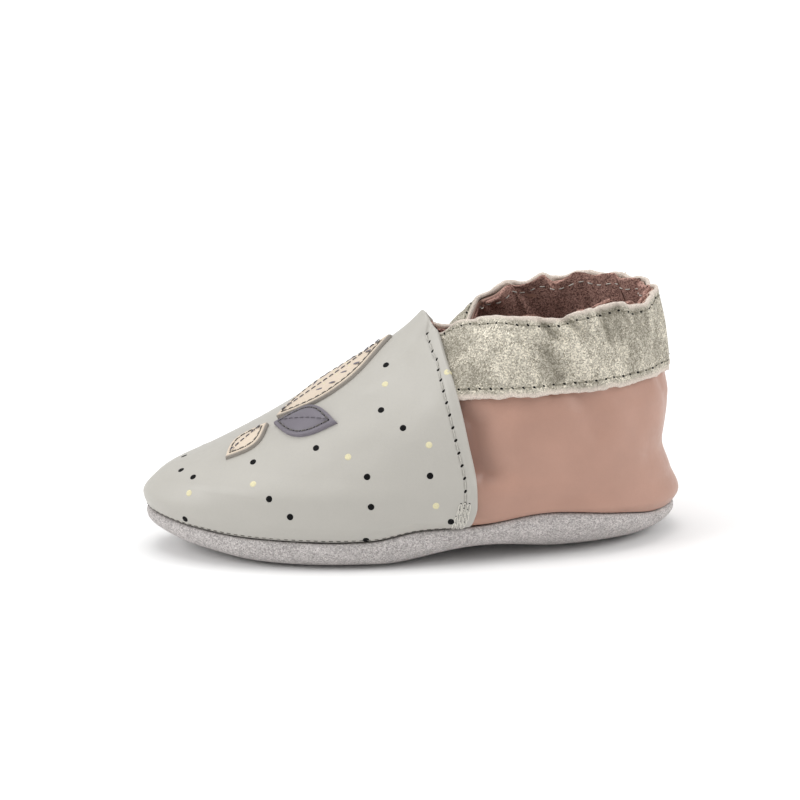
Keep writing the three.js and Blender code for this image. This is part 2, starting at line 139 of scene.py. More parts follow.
# The foot's outline at the sole seam, from toe to heel: centre is a share of the ball width, half scales
# the ring's half width, and seam is the seam's rise over a straight line, a share of its height.
OUTLINE = columns(
    "at centre half seam",
    (0.00, 0.060, 0.960, 0.00),
    (0.08, 0.046, 1.000, -0.14),
    (0.18, 0.027, 1.020, -0.22),
    (0.30, 0.012, 1.030, -0.22),
    (0.40, 0.003, 1.015, -0.17),
    (0.50, -0.008, 0.985, 0.07),
    (0.60, -0.015, 0.970, 0.14),
    (0.74, -0.008, 1.030, 0.37),
    (0.88, 0.002, 1.140, 0.19),
    (0.96, 0.006, 1.160, 0.02),
    (1.00, 0.008, 1.160, 0.00),
)

# The topline, from the throat to the heel: half scales the ring's half width, pinch is how much of that the
# gathers draw in, and outer and inner are each side's rise over a straight line, shares of the collar
# height.
TOPLINE = columns(
    "at half pinch outer inner",
    (0.000, 1.40, 0.40, 0.000, 0.000),
    (0.045, 1.28, 0.42, -0.055, -0.060),
    (0.120, 1.10, 0.45, -0.025, -0.085),
    (0.200, 1.03, 0.36, -0.003, -0.090),
    (0.260, 1.00, 0.21, 0.013, 0.000),
    (0.320, 1.00, 0.10, 0.022, 0.018),
    (0.400, 1.00, 0.02, 0.022, 0.028),
    (0.470, 1.00, 0.00, 0.010, 0.020),
    (0.540, 1.00, 0.00, 0.002, 0.032),
    (0.600, 1.01, 0.00, 0.016, 0.012),
    (0.700, 1.02, 0.00, 0.027, 0.030),
    (0.800, 1.01, 0.00, 0.025, 0.030),
    (0.900, 1.00, 0.00, -0.010, 0.028),
    (1.000, 1.00, 0.00, 0.012, 0.012),
)

# Where the vamp's rear edge lies at each rise, a share of the length.
VAMP_EDGE = columns(
    "rise place",
    (0.00, 0.584),
    (0.06, 0.591),
    (0.16, 0.599),
    (0.30, 0.600),
    (0.50, 0.587),
    (0.66, 0.573),
    (0.82, 0.558),
    (1.00, 0.549),
)

# The underside, from toe to heel: shares of the toe spring, arch lift and heel spring, and the share of the
# half width that lies flat before the sole curls up.
UNDERSIDE = columns(
    "at toe arch heel flat",
    (0.00, 1.00, 0, 0, 0.55),
    (0.10, 0.40, 0, 0, 0.60),
    (0.20, 0.05, 0, 0, 0.68),
    (0.27, 0.00, 0, 0, 0.70),
    (0.42, 0.00, 0, 0, 0.70),
    (0.60, 0.00, 1, 0, 0.45),
    (0.76, 0.00, 0, 0, 0.34),
    (0.88, 0.00, 0, 0, 0.38),
    (1.00, 0.00, 0, 1, 0.50),
)

# Gathers of the cuff. place runs from -1 at the vamp's edge on the outer side over 0 at the heel to 1 at
# its edge on the inner side, width is on that scale, depth a share of the fold depth, lean how far a fold's
# foot lies off.
GATHERS = columns(
    "place depth width lean",
    (-0.86, 0.30, 0.070, 0.00),
    (-0.70, 0.45, 0.060, 0.03),
    (-0.52, 0.50, 0.050, 0.10),
    (-0.41, 1.00, 0.045, 0.12),
    (-0.29, 0.90, 0.045, 0.10),
    (-0.18, 0.80, 0.040, 0.06),
    (-0.07, 1.00, 0.040, 0.00),
    (0.07, 0.80, 0.045, -0.03),
    (0.20, 0.70, 0.050, -0.05),
    (0.33, 0.90, 0.050, -0.06),
    (0.47, 0.70, 0.050, -0.04),
    (0.60, 0.90, 0.050, 0.02),
    (0.73, 0.80, 0.050, 0.00),
    (0.88, 0.40, 0.060, 0.00),
)

# Creases pressed into the shoe, each a soft trough (or, with a negative depth, a ridge) along a line from one
# place and rise to another. depth and width are millimetres.
CREASES = columns(
    "place rise to_place to_rise depth width",
    (-0.955, 0.56, -0.960, 0.36, 2.60, 3.8),
    (-0.945, 0.36, -0.97, 0.24, 0.50, 3.4),
    (-0.59, 0.66, -0.58, 0.50, 1.10, 3.6),
    (-0.50, 0.64, -0.49, 0.50, -0.30, 4.0),
    (-0.45, 0.62, -0.38, 0.50, 0.30, 3.5),
    (-0.78, 0.42, -0.55, 0.31, -0.25, 4.5),
    (-0.80, 0.16, -0.60, 0.22, 0.20, 3.5),
    (-0.30, 0.33, 0.30, 0.34, 0.55, 4.0),
    (-0.16, 0.60, -0.10, 0.45, 0.30, 3.0),
    (0.14, 0.62, 0.10, 0.48, 0.35, 3.0),
    (0.36, 0.64, 0.33, 0.50, 0.50, 3.0),
    (0.55, 0.40, 0.80, 0.34, 0.35, 4.0),
    (0.66, 0.66, 0.68, 0.52, 0.65, 2.8),
    (0.955, 0.56, 0.960, 0.34, 2.40, 3.8),
    (-0.63, 0.98, -0.60, 0.88, 0.94, 1.1),
    (-0.67, 0.86, -0.655, 0.73, 0.85, 1.2),
    (-0.655, 0.73, -0.70, 0.68, 0.59, 1.3),
    (-0.55, 0.98, -0.53, 0.88, 0.94, 1.1),
    (-0.43, 1.00, -0.44, 0.84, 1.36, 1.2),
    (-0.36, 0.97, -0.31, 0.86, 0.85, 1.1),
    (-0.50, 0.84, -0.48, 0.70, 0.59, 1.5),
    (-0.86, 0.92, -0.855, 0.74, -0.59, 1.9),
    (-0.76, 0.94, -0.76, 0.74, -0.59, 1.9),
    (-0.81, 0.88, -0.81, 0.70, 0.51, 1.6),
    (-0.59, 0.90, -0.585, 0.72, -0.51, 1.8),
    (-0.24, 0.90, -0.22, 0.72, 0.59, 1.6),
    (-0.12, 0.96, -0.13, 0.80, 0.77, 1.3),
    (0.13, 0.95, 0.12, 0.76, 0.77, 1.5),
    (0.27, 0.97, 0.25, 0.80, 0.77, 1.3),
    (0.40, 0.96, 0.40, 0.74, 0.77, 1.4),
    (0.54, 0.97, 0.53, 0.80, 0.77, 1.3),
    (0.67, 0.97, 0.66, 0.74, 0.77, 1.4),
    (0.81, 0.95, 0.80, 0.78, 0.68, 1.4),
)

# The sewn-on leaves, flat on the slope of the vamp. x and y are where a leaf's foot lies, from the toe and
# from the middle line, and these and its length and width are millimetres. turn is its heading from the
# heel's direction in degrees, and bulge places its widest point.
LEAF_SLOPE = 0.6
LEAVES = {
    "leaf_long": {"x": 33, "y": -2.5, "length": 34, "width": 13, "turn": 5, "bulge": 0.45},
    "leaf_dark": {"x": 32, "y": -5, "length": 18, "width": 9.5, "turn": -42, "bulge": 0.5},
    "leaf_side": {"x": 31, "y": -3, "length": 14, "width": 8, "turn": -155, "bulge": 0.5},
}

# Printed dots on the vamp's outer side, where the picture shows them.
DARK_DOTS = [
    (184, 456), (181, 470), (193, 477), (185, 519), (253, 462), (269, 499), (290, 517), (316, 448),
    (327, 420), (381, 410), (403, 428), (367, 477), (371, 507), (430, 476), (366, 540), (451, 522),
    (386, 365),
]
PALE_DOTS = [
    (189, 493), (253, 484), (348, 457), (429, 445), (436, 506), (447, 372), (385, 384),
]

# Printed dots on the inner side, which the picture doesn't show: share of the way from the toe to the
# vamp's edge, and rise.
INNER_DARK_DOTS = [
    (0.12, 0.16), (0.22, 0.31), (0.31, 0.08), (0.38, 0.24), (0.49, 0.40), (0.54, 0.12), (0.66, 0.56),
    (0.63, 0.30), (0.78, 0.72), (0.74, 0.19), (0.84, 0.44), (0.85, 0.08), (0.87, 0.29), (0.60, 0.84),
    (0.50, 0.64),
]
INNER_PALE_DOTS = [
    (0.26, 0.19), (0.45, 0.09), (0.52, 0.27), (0.70, 0.42), (0.84, 0.62), (0.80, 0.20), (0.66, 0.05),
]

# The photograph's view of the shoe: the camera's direction, its distance, and where the origin lands.
IMAGE = 800
PIXELS_PER_MM = 4.115
ORIGIN_PIXEL = (413.4, 536.0)
CAMERA_ELEVATION = math.radians(15)
CAMERA_YAW = math.radians(5)
CAMERA_ROLL = math.radians(-1.5)
CAMERA_DISTANCE = 1.1
SENSOR = 36

# Step of angle or rise over which slopes are measured.
TINY = 1e-3

# Steps of a table's smooth curve, the curves made so far, and the size of the grid of random values.
CURVE_STEPS = 6000
curves = {}
NOISE_SIZE = 64


def curve(x, y):
    """A fine polyline through a table's rows: cubics between rows, their tangents weighted harmonic means
    of the slopes on both sides, or level where those differ in sign, so that it never overshoots a row."""
    step = np.diff(x)
    slope = np.diff(y) / step
    same = slope[:-1] * slope[1:] > 0
    near, far = 2 * step[1:] + step[:-1], step[1:] + 2 * step[:-1]
    before, after = np.where(same, slope[:-1], 1), np.where(same, slope[1:], 1)
    inner = np.where(same, (near + far) / (near / before + far / after), 0)
    tangent = np.concatenate([slope[:1], inner, slope[-1:]])
    at = np.linspace(x[0], x[-1], CURVE_STEPS)
    row = np.clip(np.searchsorted(x, at) - 1, 0, len(x) - 2)
    t = (at - x[row]) / step[row]
    lean = step[row] * ((t**3 - 2 * t**2 + t) * tangent[row] + (t**3 - t**2) * tangent[row + 1])
    return at, (2 * t**3 - 3 * t**2 + 1) * y[row] + (3 * t**2 - 2 * t**3) * y[row + 1] + lean


def smooth(table, column, at):
    """A column's value at each value of the table's first one, read off a smooth curve, made once."""
    name = id(table), column
    if name not in curves:
        curves[name] = curve(next(iter(table.values())), table[column])
    return np.interp(at, *curves[name])


def ramp(start, end, value):
    """Rises smoothly from 0 to 1 as value goes from start to end: 3t^2 - 2t^3."""
    t = np.clip((value - start) / (end - start), 0, 1)
    return t * t * (3 - 2 * t)


def mix(a, b, share):
    """A value between a and b."""
    return a + (b - a) * share


def bell(value, middle, width):
    """A bell curve, 1 at its middle: e to the minus square of the distance in widths."""
    return np.exp(-(((value - middle) / width) ** 2))


def wrapped(angle):
    """The same angle between -pi and pi."""
    return (angle + np.pi) % (2 * np.pi) - np.pi


def runs(*parts):
    """Numbers from run to run: each part is a start, an end and a count. The last end is kept."""
    pieces = [np.linspace(start, end, count, endpoint=False) for start, end, count in parts]
    return np.concatenate([*pieces, [parts[-1][1]]])


def wobble(u, v, seed):
    """Smooth noise from -1 to 1: seeded random values on a unit grid, joined by ramps of the distance."""
    size = NOISE_SIZE
    grid = np.random.default_rng(seed).uniform(-1, 1, (size, size))
    i, j = np.floor(u).astype(int), np.floor(v).astype(int)
    s, t = ramp(0, 1, u - i), ramp(0, 1, v - j)
    near = mix(grid[i % size, j % size], grid[(i + 1) % size, j % size], s)
    far = mix(grid[i % size, (j + 1) % size], grid[(i + 1) % size, (j + 1) % size], s)
    return mix(near, far, t)


def edge_angle(rise):
    """The angle at which the vamp's edge crosses the ring of this rise."""
    front, back = smooth(RINGS, "front", rise), smooth(RINGS, "back", rise)
    share = (smooth(VAMP_EDGE, "place", rise) - front) / (back - front)
    return np.arccos(1 - 2 * np.clip(share, 0, 1))


def from_heel(angle, rise):
    """Place on the rear of the shoe: 0 at the heel, -1 and 1 at the vamp's outer and inner edge."""
    side = np.where(angle < 0, -1, 1)
    return side * (np.pi - np.abs(angle)) / (np.pi - edge_angle(rise))


def gather_depth(angle, rise):
    """Depth of the gathers: a sum of bell curves of the place, fading in above the cuff's lower edge."""
    angle = wrapped(angle)
    place = from_heel(angle, rise)
    fade = ramp(CUFF_RISE - GATHER_BELOW, 1, rise) * ramp(1.02, 0.94, np.abs(place))
    rows = zip(*GATHERS.values())
    return fade * sum(depth * bell(place, at + lean * (1 - rise), width) for at, depth, width, lean in rows)


def form(angle, rise):
    """The outer form. Each rise is a ring: x runs from front to back as (1 - cos angle) / 2, y is sin angle
    times a half width that blends from the foot's outline to the topline, z runs from low to high with the
    seam's and the topline's own waves, and the gathers draw the ring in towards its middle."""
    angle, rise = np.broadcast_arrays(np.asarray(angle, float), np.asarray(rise, float))
    angle = wrapped(angle)
    share = (1 - np.cos(angle)) / 2
    front = LENGTH * smooth(RINGS, "front", rise)
    back = LENGTH * smooth(RINGS, "back", rise)
    width = BALL_WIDTH / 2 * smooth(RINGS, "half", rise)
    collar = ramp(0, TOPLINE_RISE, rise)
    pinch = smooth(TOPLINE, "pinch", share) * ramp(PINCH_RISE, 1, rise)
    outline, topline = (smooth(table, "half", share) for table in (OUTLINE, TOPLINE))
    half = mix(outline, topline, collar) * (1 - pinch)
    centre = BALL_WIDTH * smooth(OUTLINE, "centre", share) * (1 - collar)
    low = INSTEP_HEIGHT * smooth(RINGS, "low", rise)
    high = COLLAR_HEIGHT * smooth(RINGS, "high", rise)
    seam = SEAM_HEIGHT * smooth(OUTLINE, "seam", share) * np.maximum(0, 1 - rise / SEAM_FADE) ** 2
    side = np.where(angle < 0, smooth(TOPLINE, "outer", share), smooth(TOPLINE, "inner", share))
    top = np.maximum(0, (rise - CUFF_RISE) / (1 - CUFF_RISE))
    folds = gather_depth(angle, rise)
    inward = 1 - folds * FOLD_DEPTH / width
    middle = (front + back) / 2
    x = middle + (front + (back - front) * share - middle) * inward - LENGTH / 2
    y = centre + np.sin(angle) * width * half * inward
    z = mix(low, high, share) + seam + top * COLLAR_HEIGHT * side - top**2 * folds * FOLD_DROP
    return np.stack([x, y, z], axis=-1)


def sole_form(angle, step):
    """The sole's outer face: from the seam at step 0 it curls in and down on a quarter turn, lies flat from
    the curl's end, and shrinks to a spine at step 1. Its floor follows the springs and the arch."""
    angle, step = np.broadcast_arrays(np.asarray(angle, float), np.asarray(step, float))
    rim = form(angle, 0)
    share = (1 - np.cos(angle)) / 2
    flat = smooth(UNDERSIDE, "flat", share)
    curl = np.minimum(step / CURL_END, 1) * np.pi / 2
    width = BALL_WIDTH / 2 * RINGS["half"][0]
    roll = SOLE_ROLL / width * np.sin(2 * curl)
    curled = flat + (1 - flat) * np.clip(np.cos(curl), 0, 1) ** CURL_FULLNESS + roll
    reach = np.where(step > CURL_END, flat * (1 - step) / (1 - CURL_END), curled)
    centre = BALL_WIDTH * smooth(OUTLINE, "centre", share)
    x = rim[..., 0] * (1 - (1 - reach) * SPINE_SHARE)
    at = x / LENGTH + 0.5
    base = TOE_SPRING * smooth(UNDERSIDE, "toe", at) + ARCH_LIFT * smooth(UNDERSIDE, "arch", at)
    base = base + HEEL_SPRING * smooth(UNDERSIDE, "heel", at)
    z = base + (rim[..., 2] - CLEARANCE - base) * (1 - np.sin(curl))
    return np.stack([x, centre + (rim[..., 1] - centre) * reach, z], axis=-1)


def unit(vectors):
    """Vectors made one unit long."""
    return vectors / np.maximum(np.linalg.norm(vectors, axis=-1, keepdims=True), 1e-12)


def with_normal(surface, angle, second, turn, level):
    """A surface's points and outward normals: the cross product of its slopes, bent level at the seam."""
    below, above = np.maximum(0, second - TINY), np.minimum(1, second + TINY)
    along = surface(angle + TINY, second) - surface(angle - TINY, second)
    across = surface(angle, above) - surface(angle, below)
    normal = unit(np.cross(across, along)) * turn
    normal[..., 2] *= ramp(0, level, second)
    return surface(angle, second), unit(normal)


def ahead_of_edge(angle, rise):
    """How far ahead of the vamp's edge a point lies along its ring, negative behind the edge."""
    edge = edge_angle(rise)
    chord = np.linalg.norm(form(np.abs(angle), rise) - form(edge, rise), axis=-1)
    return chord * np.sign(edge - np.abs(angle))


def edge_speed(rise):
    """Length of ring that one radian stands for at the vamp's edge."""
    edge = edge_angle(rise)
    return np.linalg.norm(form(edge + TINY, rise) - form(edge - TINY, rise), axis=-1) / (2 * TINY)


def cuffed(rise):
    """1 on the cuff, fading to 0 just below its lower edge."""
    return ramp(CUFF_RISE - SEAT_BELOW, CUFF_RISE, rise)


def over_cuff_end(away, rise):
    """1 where the cuff's end is tucked in under the vamp, fading out ahead of it."""
    return ramp(CUFF_TUCK + CUFF_LIFT, CUFF_TUCK, away) * cuffed(rise)


def upper_sink(away, rise):
    """How far the upper's outer face lies inside the outer form: under the vamp, under the cuff, and
    pressed in where the cuff's end lies between them."""
    ahead = ramp(-LAP_BEHIND, LAP_AHEAD, away)
    pressed = LAP_PRESS * over_cuff_end(away, rise) * ramp(-LAP_BEHIND, 0, away)
    under_cuff = (CLEARANCE + CUFF_WALL - CUFF_PROUD) * cuffed(rise) * (1 - ahead)
    return (VAMP_WALL + CLEARANCE) * ahead + under_cuff + pressed


def crease_depth(angle, rise):
    """Depth of the creases: bell curves of the distance to each crease's line, faded under the vamp."""
    angle = wrapped(angle)
    place = from_heel(angle, rise) * PLACE_LENGTH
    height = rise * RISE_LENGTH
    scale = (PLACE_LENGTH, RISE_LENGTH, PLACE_LENGTH, RISE_LENGTH, MM, MM)
    total = 0
    for row in zip(*CREASES.values()):
        x0, y0, x1, y1, depth, width = np.multiply(row, scale)
        span = (x1 - x0) ** 2 + (y1 - y0) ** 2
        t = np.clip(((place - x0) * (x1 - x0) + (height - y0) * (y1 - y0)) / span, 0, 1)
        away = np.hypot(place - mix(x0, x1, t), height - mix(y0, y1, t))
        total = total + depth * bell(away, 0, width)
    return total * ramp(1.06, 0.97, np.abs(place) / PLACE_LENGTH)


def drawn_out(angle, rise, wide, high, shift, seed):
    """Noise whose cells are this wide round the rear of the shoe and this high, in metres."""
    place = from_heel(angle, rise) * PLACE_LENGTH
    return wobble(place / wide + shift, rise * RISE_LENGTH / high, seed)


def pucker(angle, rise):
    """Small crumples of the gathered collar: noise drawn out along the height, from the cuff upwards."""
    angle = wrapped(angle)
    fine = drawn_out(angle, rise, 1.8 * MM, 8 * MM, 20, 3) * 0.16 * MM
    broad = drawn_out(angle, rise, 3.9 * MM, 15 * MM, 20, 5) * 0.80 * MM
    fade = ramp(CUFF_RISE - 0.12, CUFF_RISE + 0.06, rise) * ramp(1.04, 0.9, np.abs(from_heel(angle, rise)))
    return fade * (fine + broad)


def tuck_in(rise):
    """How far a piece's foot rolls inwards into the sole seam: a quarter circle just above the seam."""
    t = np.clip(1 - rise * RISE_LENGTH / TUCK_HEIGHT, 0, 1)
    return TUCK_RADIUS * (1 - np.sqrt(1 - t * t))


def toe_puff(angle, rise):
    """How far the soft toe is puffed up over the plain form, by ramps of the angle and of the rise."""
    return TOE_PUFF * ramp(1.5, 0.2, np.abs(angle)) * ramp(0.12, 0.34, rise) * ramp(0.78, 0.5, rise)


def upper_face(angle, rise, distance):
    """The upper's outer face moved out by a distance: the form less its sink, creases, puckers and tuck."""
    angle, rise = np.broadcast_arrays(np.asarray(angle, float), np.asarray(rise, float))
    angle = wrapped(angle)
    away = ahead_of_edge(angle, rise)
    point, normal = with_normal(form, angle, rise, 1, RIM_FADE)
    behind, under, _ = TUCK_SHARES
    foot = tuck_in(rise) * mix(behind, under, ramp(-10 * MM, 0, away))
    relief = upper_sink(away, rise) + crease_depth(angle, rise) + pucker(angle, rise) + foot
    return point + normal * (distance + toe_puff(angle, rise) - relief)[..., None]


def vamp_stand(angle, rise):
    """How far the vamp's inner face stands off the upper: more where the cuff's end is tucked in."""
    return CLEARANCE + (CLEARANCE + CUFF_WALL) * over_cuff_end(ahead_of_edge(angle, rise), rise)


def vamp_face(angle, rise, distance):
    """The vamp's inner face moved out by a distance."""
    return upper_face(angle, rise, vamp_stand(angle, rise) + distance)


def rounded(edge, radius):
    """Share of a wall's thickness this far from its cut edge: a quarter circle within the radius."""
    t = 1 - np.clip(edge / radius, 0, 1)
    return np.sqrt(np.maximum(0, 1 - t * t))


def facing(surface, angle, rise):
    """Points of a face at each angle and rise, and its outward normals."""
    point = surface(angle, rise)
    along = surface(angle + TINY, rise) - point
    across = surface(angle, rise - TINY) - point
    return point, unit(np.cross(-across, along))


def distances(points):
    """How far along its path each point lies, from 0 at the first."""
    return np.concatenate([[0], np.cumsum(np.linalg.norm(np.diff(points, axis=0), axis=1))])


# Meshes

WELD_WITHIN = 0.001 * MM


def between(long, short):
    """Triangles that join a row of points to one of as many or fewer, each tied to the one at its share."""
    tie = np.round(np.linspace(0, len(short) - 1, len(long))).astype(int)
    first = np.stack([long[:-1], long[1:], short[tie[:-1]]], axis=1)
    step = tie[1:] > tie[:-1]
    second = np.stack([long[1:][step], short[tie[1:]][step], short[tie[:-1]][step]], axis=1)
    return np.concatenate([first, second])


def signed_volume(points, faces):
    """Volume inside closed faces: a sixth of the triple products of each triangle's corners, summed."""
    total = 0
    for group in faces:
        for corner in range(1, group.shape[1] - 1):
            a, b, c = points[group[:, 0]], points[group[:, corner]], points[group[:, corner + 1]]
            total += np.einsum("ij,ij->i", a, np.cross(b, c)).sum() / 6
    return total


def mesh_object(name, points, faces, attributes=None):
    """A smooth object at the origin from points and arrays of faces with three or four corners each."""
    if signed_volume(points, faces) < 0:
        faces = [group[:, ::-1] for group in faces]
    mesh = bpy.data.meshes.new(name)
    corners = np.concatenate([group.ravel() for group in faces]).astype(np.int32)
    sizes = np.concatenate([np.full(len(group), group.shape[1]) for group in faces])
    starts = np.concatenate([[0], np.cumsum(sizes)[:-1]]).astype(np.int32)
    mesh.vertices.add(len(points))
    mesh.vertices.foreach_set("co", points.astype(np.float32).ravel())
    mesh.loops.add(len(corners))
    mesh.loops.foreach_set("vertex_index", corners)
    mesh.polygons.add(len(sizes))
    mesh.polygons.foreach_set("loop_start", starts)
    mesh.polygons.foreach_set("use_smooth", np.ones(len(sizes), bool))
    mesh.update(calc_edges=True)
    for key, values in (attributes or {}).items():
        layer = mesh.attributes.new(key, "FLOAT", "POINT")
        layer.data.foreach_set("value", values.astype(np.float32).ravel())
    mesh.validate()
    obj = bpy.data.objects.new(name, mesh)
    bpy.context.scene.collection.objects.link(obj)
    return obj


def welded(points, faces, attributes):
    """The same mesh with points that coincide made one, and the faces that this flattens mended."""
    keys = np.round(points / WELD_WITHIN).astype(np.int64)
    _, first, index = np.unique(keys, axis=0, return_index=True, return_inverse=True)
    index = index.ravel()
    kept = []
    for group in faces:
        group = index[group]
        if group.shape[1] == 4:
            twice = group == np.roll(group, -1, axis=1)
            kept.append(group[~twice.any(axis=1)])
            for corner in range(4):
                hit = twice[:, corner] & (twice.sum(axis=1) == 1)
                kept.append(np.delete(group[hit], corner, axis=1))
        else:
            flat = (group == np.roll(group, -1, axis=1)).any(axis=1)
            kept.append(group[~flat])
    kept = [group for group in kept if len(group)]
    return points[first], kept, {key: values.ravel()[first] for key, values in attributes.items()}


def shell(name, outer, inner, wrap=False, joined=True, weld=False, attributes=None):
    """A closed layer: rows run up its outer face and back down its inner one, round the rims between them.
    An open layer's ends are closed too. attributes hold pairs of arrays, for the outer and inner face."""
    rows = np.concatenate([outer, inner[::-1]])
    count, across = rows.shape[:2]
    index = np.arange(count * across).reshape(count, across)
    loop = np.concatenate([index, index[:1]])
    if wrap:
        loop = np.concatenate([loop, loop[:, :1]], axis=1)
    quads = np.stack([loop[:-1, :-1], loop[:-1, 1:], loop[1:, 1:], loop[1:, :-1]], axis=-1)
    if not joined:
        quads = np.delete(quads, len(outer) - 1, axis=0)
    faces = [quads.reshape(-1, 4)]
    if not wrap:
        first = between(index[: len(outer), 0], index[len(outer) :, 0][::-1])
        last = between(index[: len(outer), -1], index[len(outer) :, -1][::-1])
        faces += [first, last[:, ::-1]]
    values = {key: np.concatenate([a, b[::-1]]) for key, (a, b) in (attributes or {}).items()}
    points = rows.reshape(-1, 3)
    if weld:
        points, faces, values = welded(points, faces, values)
    return mesh_object(name, points, faces, values)


def tubes(name, paths, normals, radius, sides=6, closed=False):
    """Thread along many short paths at once: circles of points round each path's points, in the plane of
    the path's normal and of the cross product with its direction. Open threads taper to rounded ends."""
    count, steps = paths.shape[:2]
    if closed:
        ahead = np.roll(paths, -1, axis=1) - np.roll(paths, 1, axis=1)
        swell = np.ones(steps)
    else:
        ahead = np.gradient(paths, axis=1)
        swell = rounded(1 - np.abs(np.linspace(-1, 1, steps)), 0.3) * 0.97 + 0.03
    ahead = unit(ahead)
    cross = unit(np.cross(ahead, normals))
    lift = np.cross(cross, ahead)
    turn = np.linspace(0, 2 * np.pi, sides, endpoint=False)
    ring = cross[:, :, None] * np.cos(turn)[:, None] + lift[:, :, None] * np.sin(turn)[:, None]
    points = paths[:, :, None] + ring * (radius * swell)[None, :, None, None]
    index = np.arange(count * steps * sides).reshape(count, steps, sides)
    index = np.concatenate([index, index[:, :, :1]], axis=2)
    if closed:
        index = np.concatenate([index, index[:, :1]], axis=1)
    a, b, c, d = index[:, :-1, :-1], index[:, 1:, :-1], index[:, 1:, 1:], index[:, :-1, 1:]
    faces = [np.stack([a, b, c, d], axis=-1).reshape(-1, 4)]
    if not closed:
        for end, turned in ((index[:, 0], False), (index[:, -1], True)):
            fan = np.stack([np.repeat(end[:, :1], sides - 2, axis=1), end[:, 1:-2], end[:, 2:-1]], axis=-1)
            faces.append((fan[..., ::-1] if turned else fan).reshape(-1, 3))
    return mesh_object(name, points.reshape(-1, 3), faces)


def dressed(obj, slot, finish, *nodes):
    """Gives a piece its material and its body, and hides the solids that it stands for. Its slot is not used.
    """
    obj.data.materials.append(finish)
    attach(obj, BODY)
    if nodes:
        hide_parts(*nodes)
    return obj


# Finishes


def linear(code):
    """A linear colour from a hex code such as #c8c8c2."""
    parts = [int(code[i : i + 2], 16) / 255 for i in (1, 3, 5)]
    return tuple(c / 12.92 if c <= 0.04045 else ((c + 0.055) / 1.055) ** 2.4 for c in parts)


class Finish:
    """A material: one shader fed by procedural textures on the object's coordinates, sized in metres."""

    def __init__(self, name, sockets):
        self.material = bpy.data.materials.new(name)
        self.material.use_nodes = True
        self.tree = self.material.node_tree
        self.shader = self.tree.nodes["Principled BSDF"]
        self.feed(self.shader, sockets)
        self.place = self.node("ShaderNodeTexCoord").outputs["Object"]

    def feed(self, node, sockets):
        for key, value in sockets.items():
            if isinstance(value, bpy.types.NodeSocket):
                self.tree.links.new(value, node.inputs[key])
            elif key in ("Base Color", "Sheen Tint"):
                node.inputs[key].default_value = (*value, 1)
            else:
                node.inputs[key].default_value = value

    def node(self, kind, sockets=None, **settings):
        node = self.tree.nodes.new(kind)
        for key, value in settings.items():
            setattr(node, key, value)
        self.feed(node, sockets or {})
        return node

    def stretched(self, along):
        """The object's coordinates drawn out by a factor for each axis."""
        scale = {"Vector": self.place, "Scale": tuple(1 / a for a in along)}
        return self.node("ShaderNodeMapping", scale).outputs["Vector"]

    def noise(self, size, detail=2.0, roughness=0.5, place=None):
        sockets = {"Vector": place or self.place, "Scale": 1 / size, "Detail": detail, "Roughness": roughness}
        return self.node("ShaderNodeTexNoise", sockets).outputs["Fac"]

    def cells(self, size):
        return self.node("ShaderNodeTexVoronoi", {"Vector": self.place, "Scale": 1 / size})

    def tones(self, cells):
        """Three random numbers for each cell: its colour's red, green and blue."""
        return self.node("ShaderNodeSeparateColor", {"Color": cells.outputs["Color"]}).outputs

    def attribute(self, name):
        return self.node("ShaderNodeAttribute", attribute_name=name).outputs["Fac"]

    def spread(self, value, start, end, low=0.0, high=1.0):
        """The value's range from start to end mapped to low to high, and held there outside it."""
        sockets = {"Value": value, "From Min": start, "From Max": end, "To Min": low, "To Max": high}
        return self.node("ShaderNodeMapRange", sockets).outputs["Result"]

    def math(self, operation, a, b):
        return self.node("ShaderNodeMath", {0: a, 1: b}, operation=operation).outputs["Value"]

    def blend(self, share, a, b):
        """A colour between two colours."""
        a, b = (value if isinstance(value, bpy.types.NodeSocket) else (*value, 1) for value in (a, b))
        return self.node("ShaderNodeMix", {0: share, 6: a, 7: b}, data_type="RGBA").outputs[2]

    def bump(self, height, depth, strength=1.0, **below):
        """A normal from a height of this depth in metres, laid over the Normal below it if one is given."""
        sockets = {"Height": height, "Distance": depth, "Strength": strength, **below}
        return self.node("ShaderNodeBump", sockets).outputs["Normal"]

    def wear(self, **sockets):
        """Feeds the shader's sockets, named in plain lower case, and returns the material."""
        names = {"colour": "Base Color", "roughness": "Roughness", "normal": "Normal", "metallic": "Metallic"}
        self.feed(self.shader, {names[key]: value for key, value in sockets.items()})
        return self.material


def scaled(colour, factor):
    """A colour made lighter or darker by a factor."""
    return tuple(min(1, c * factor) for c in colour)


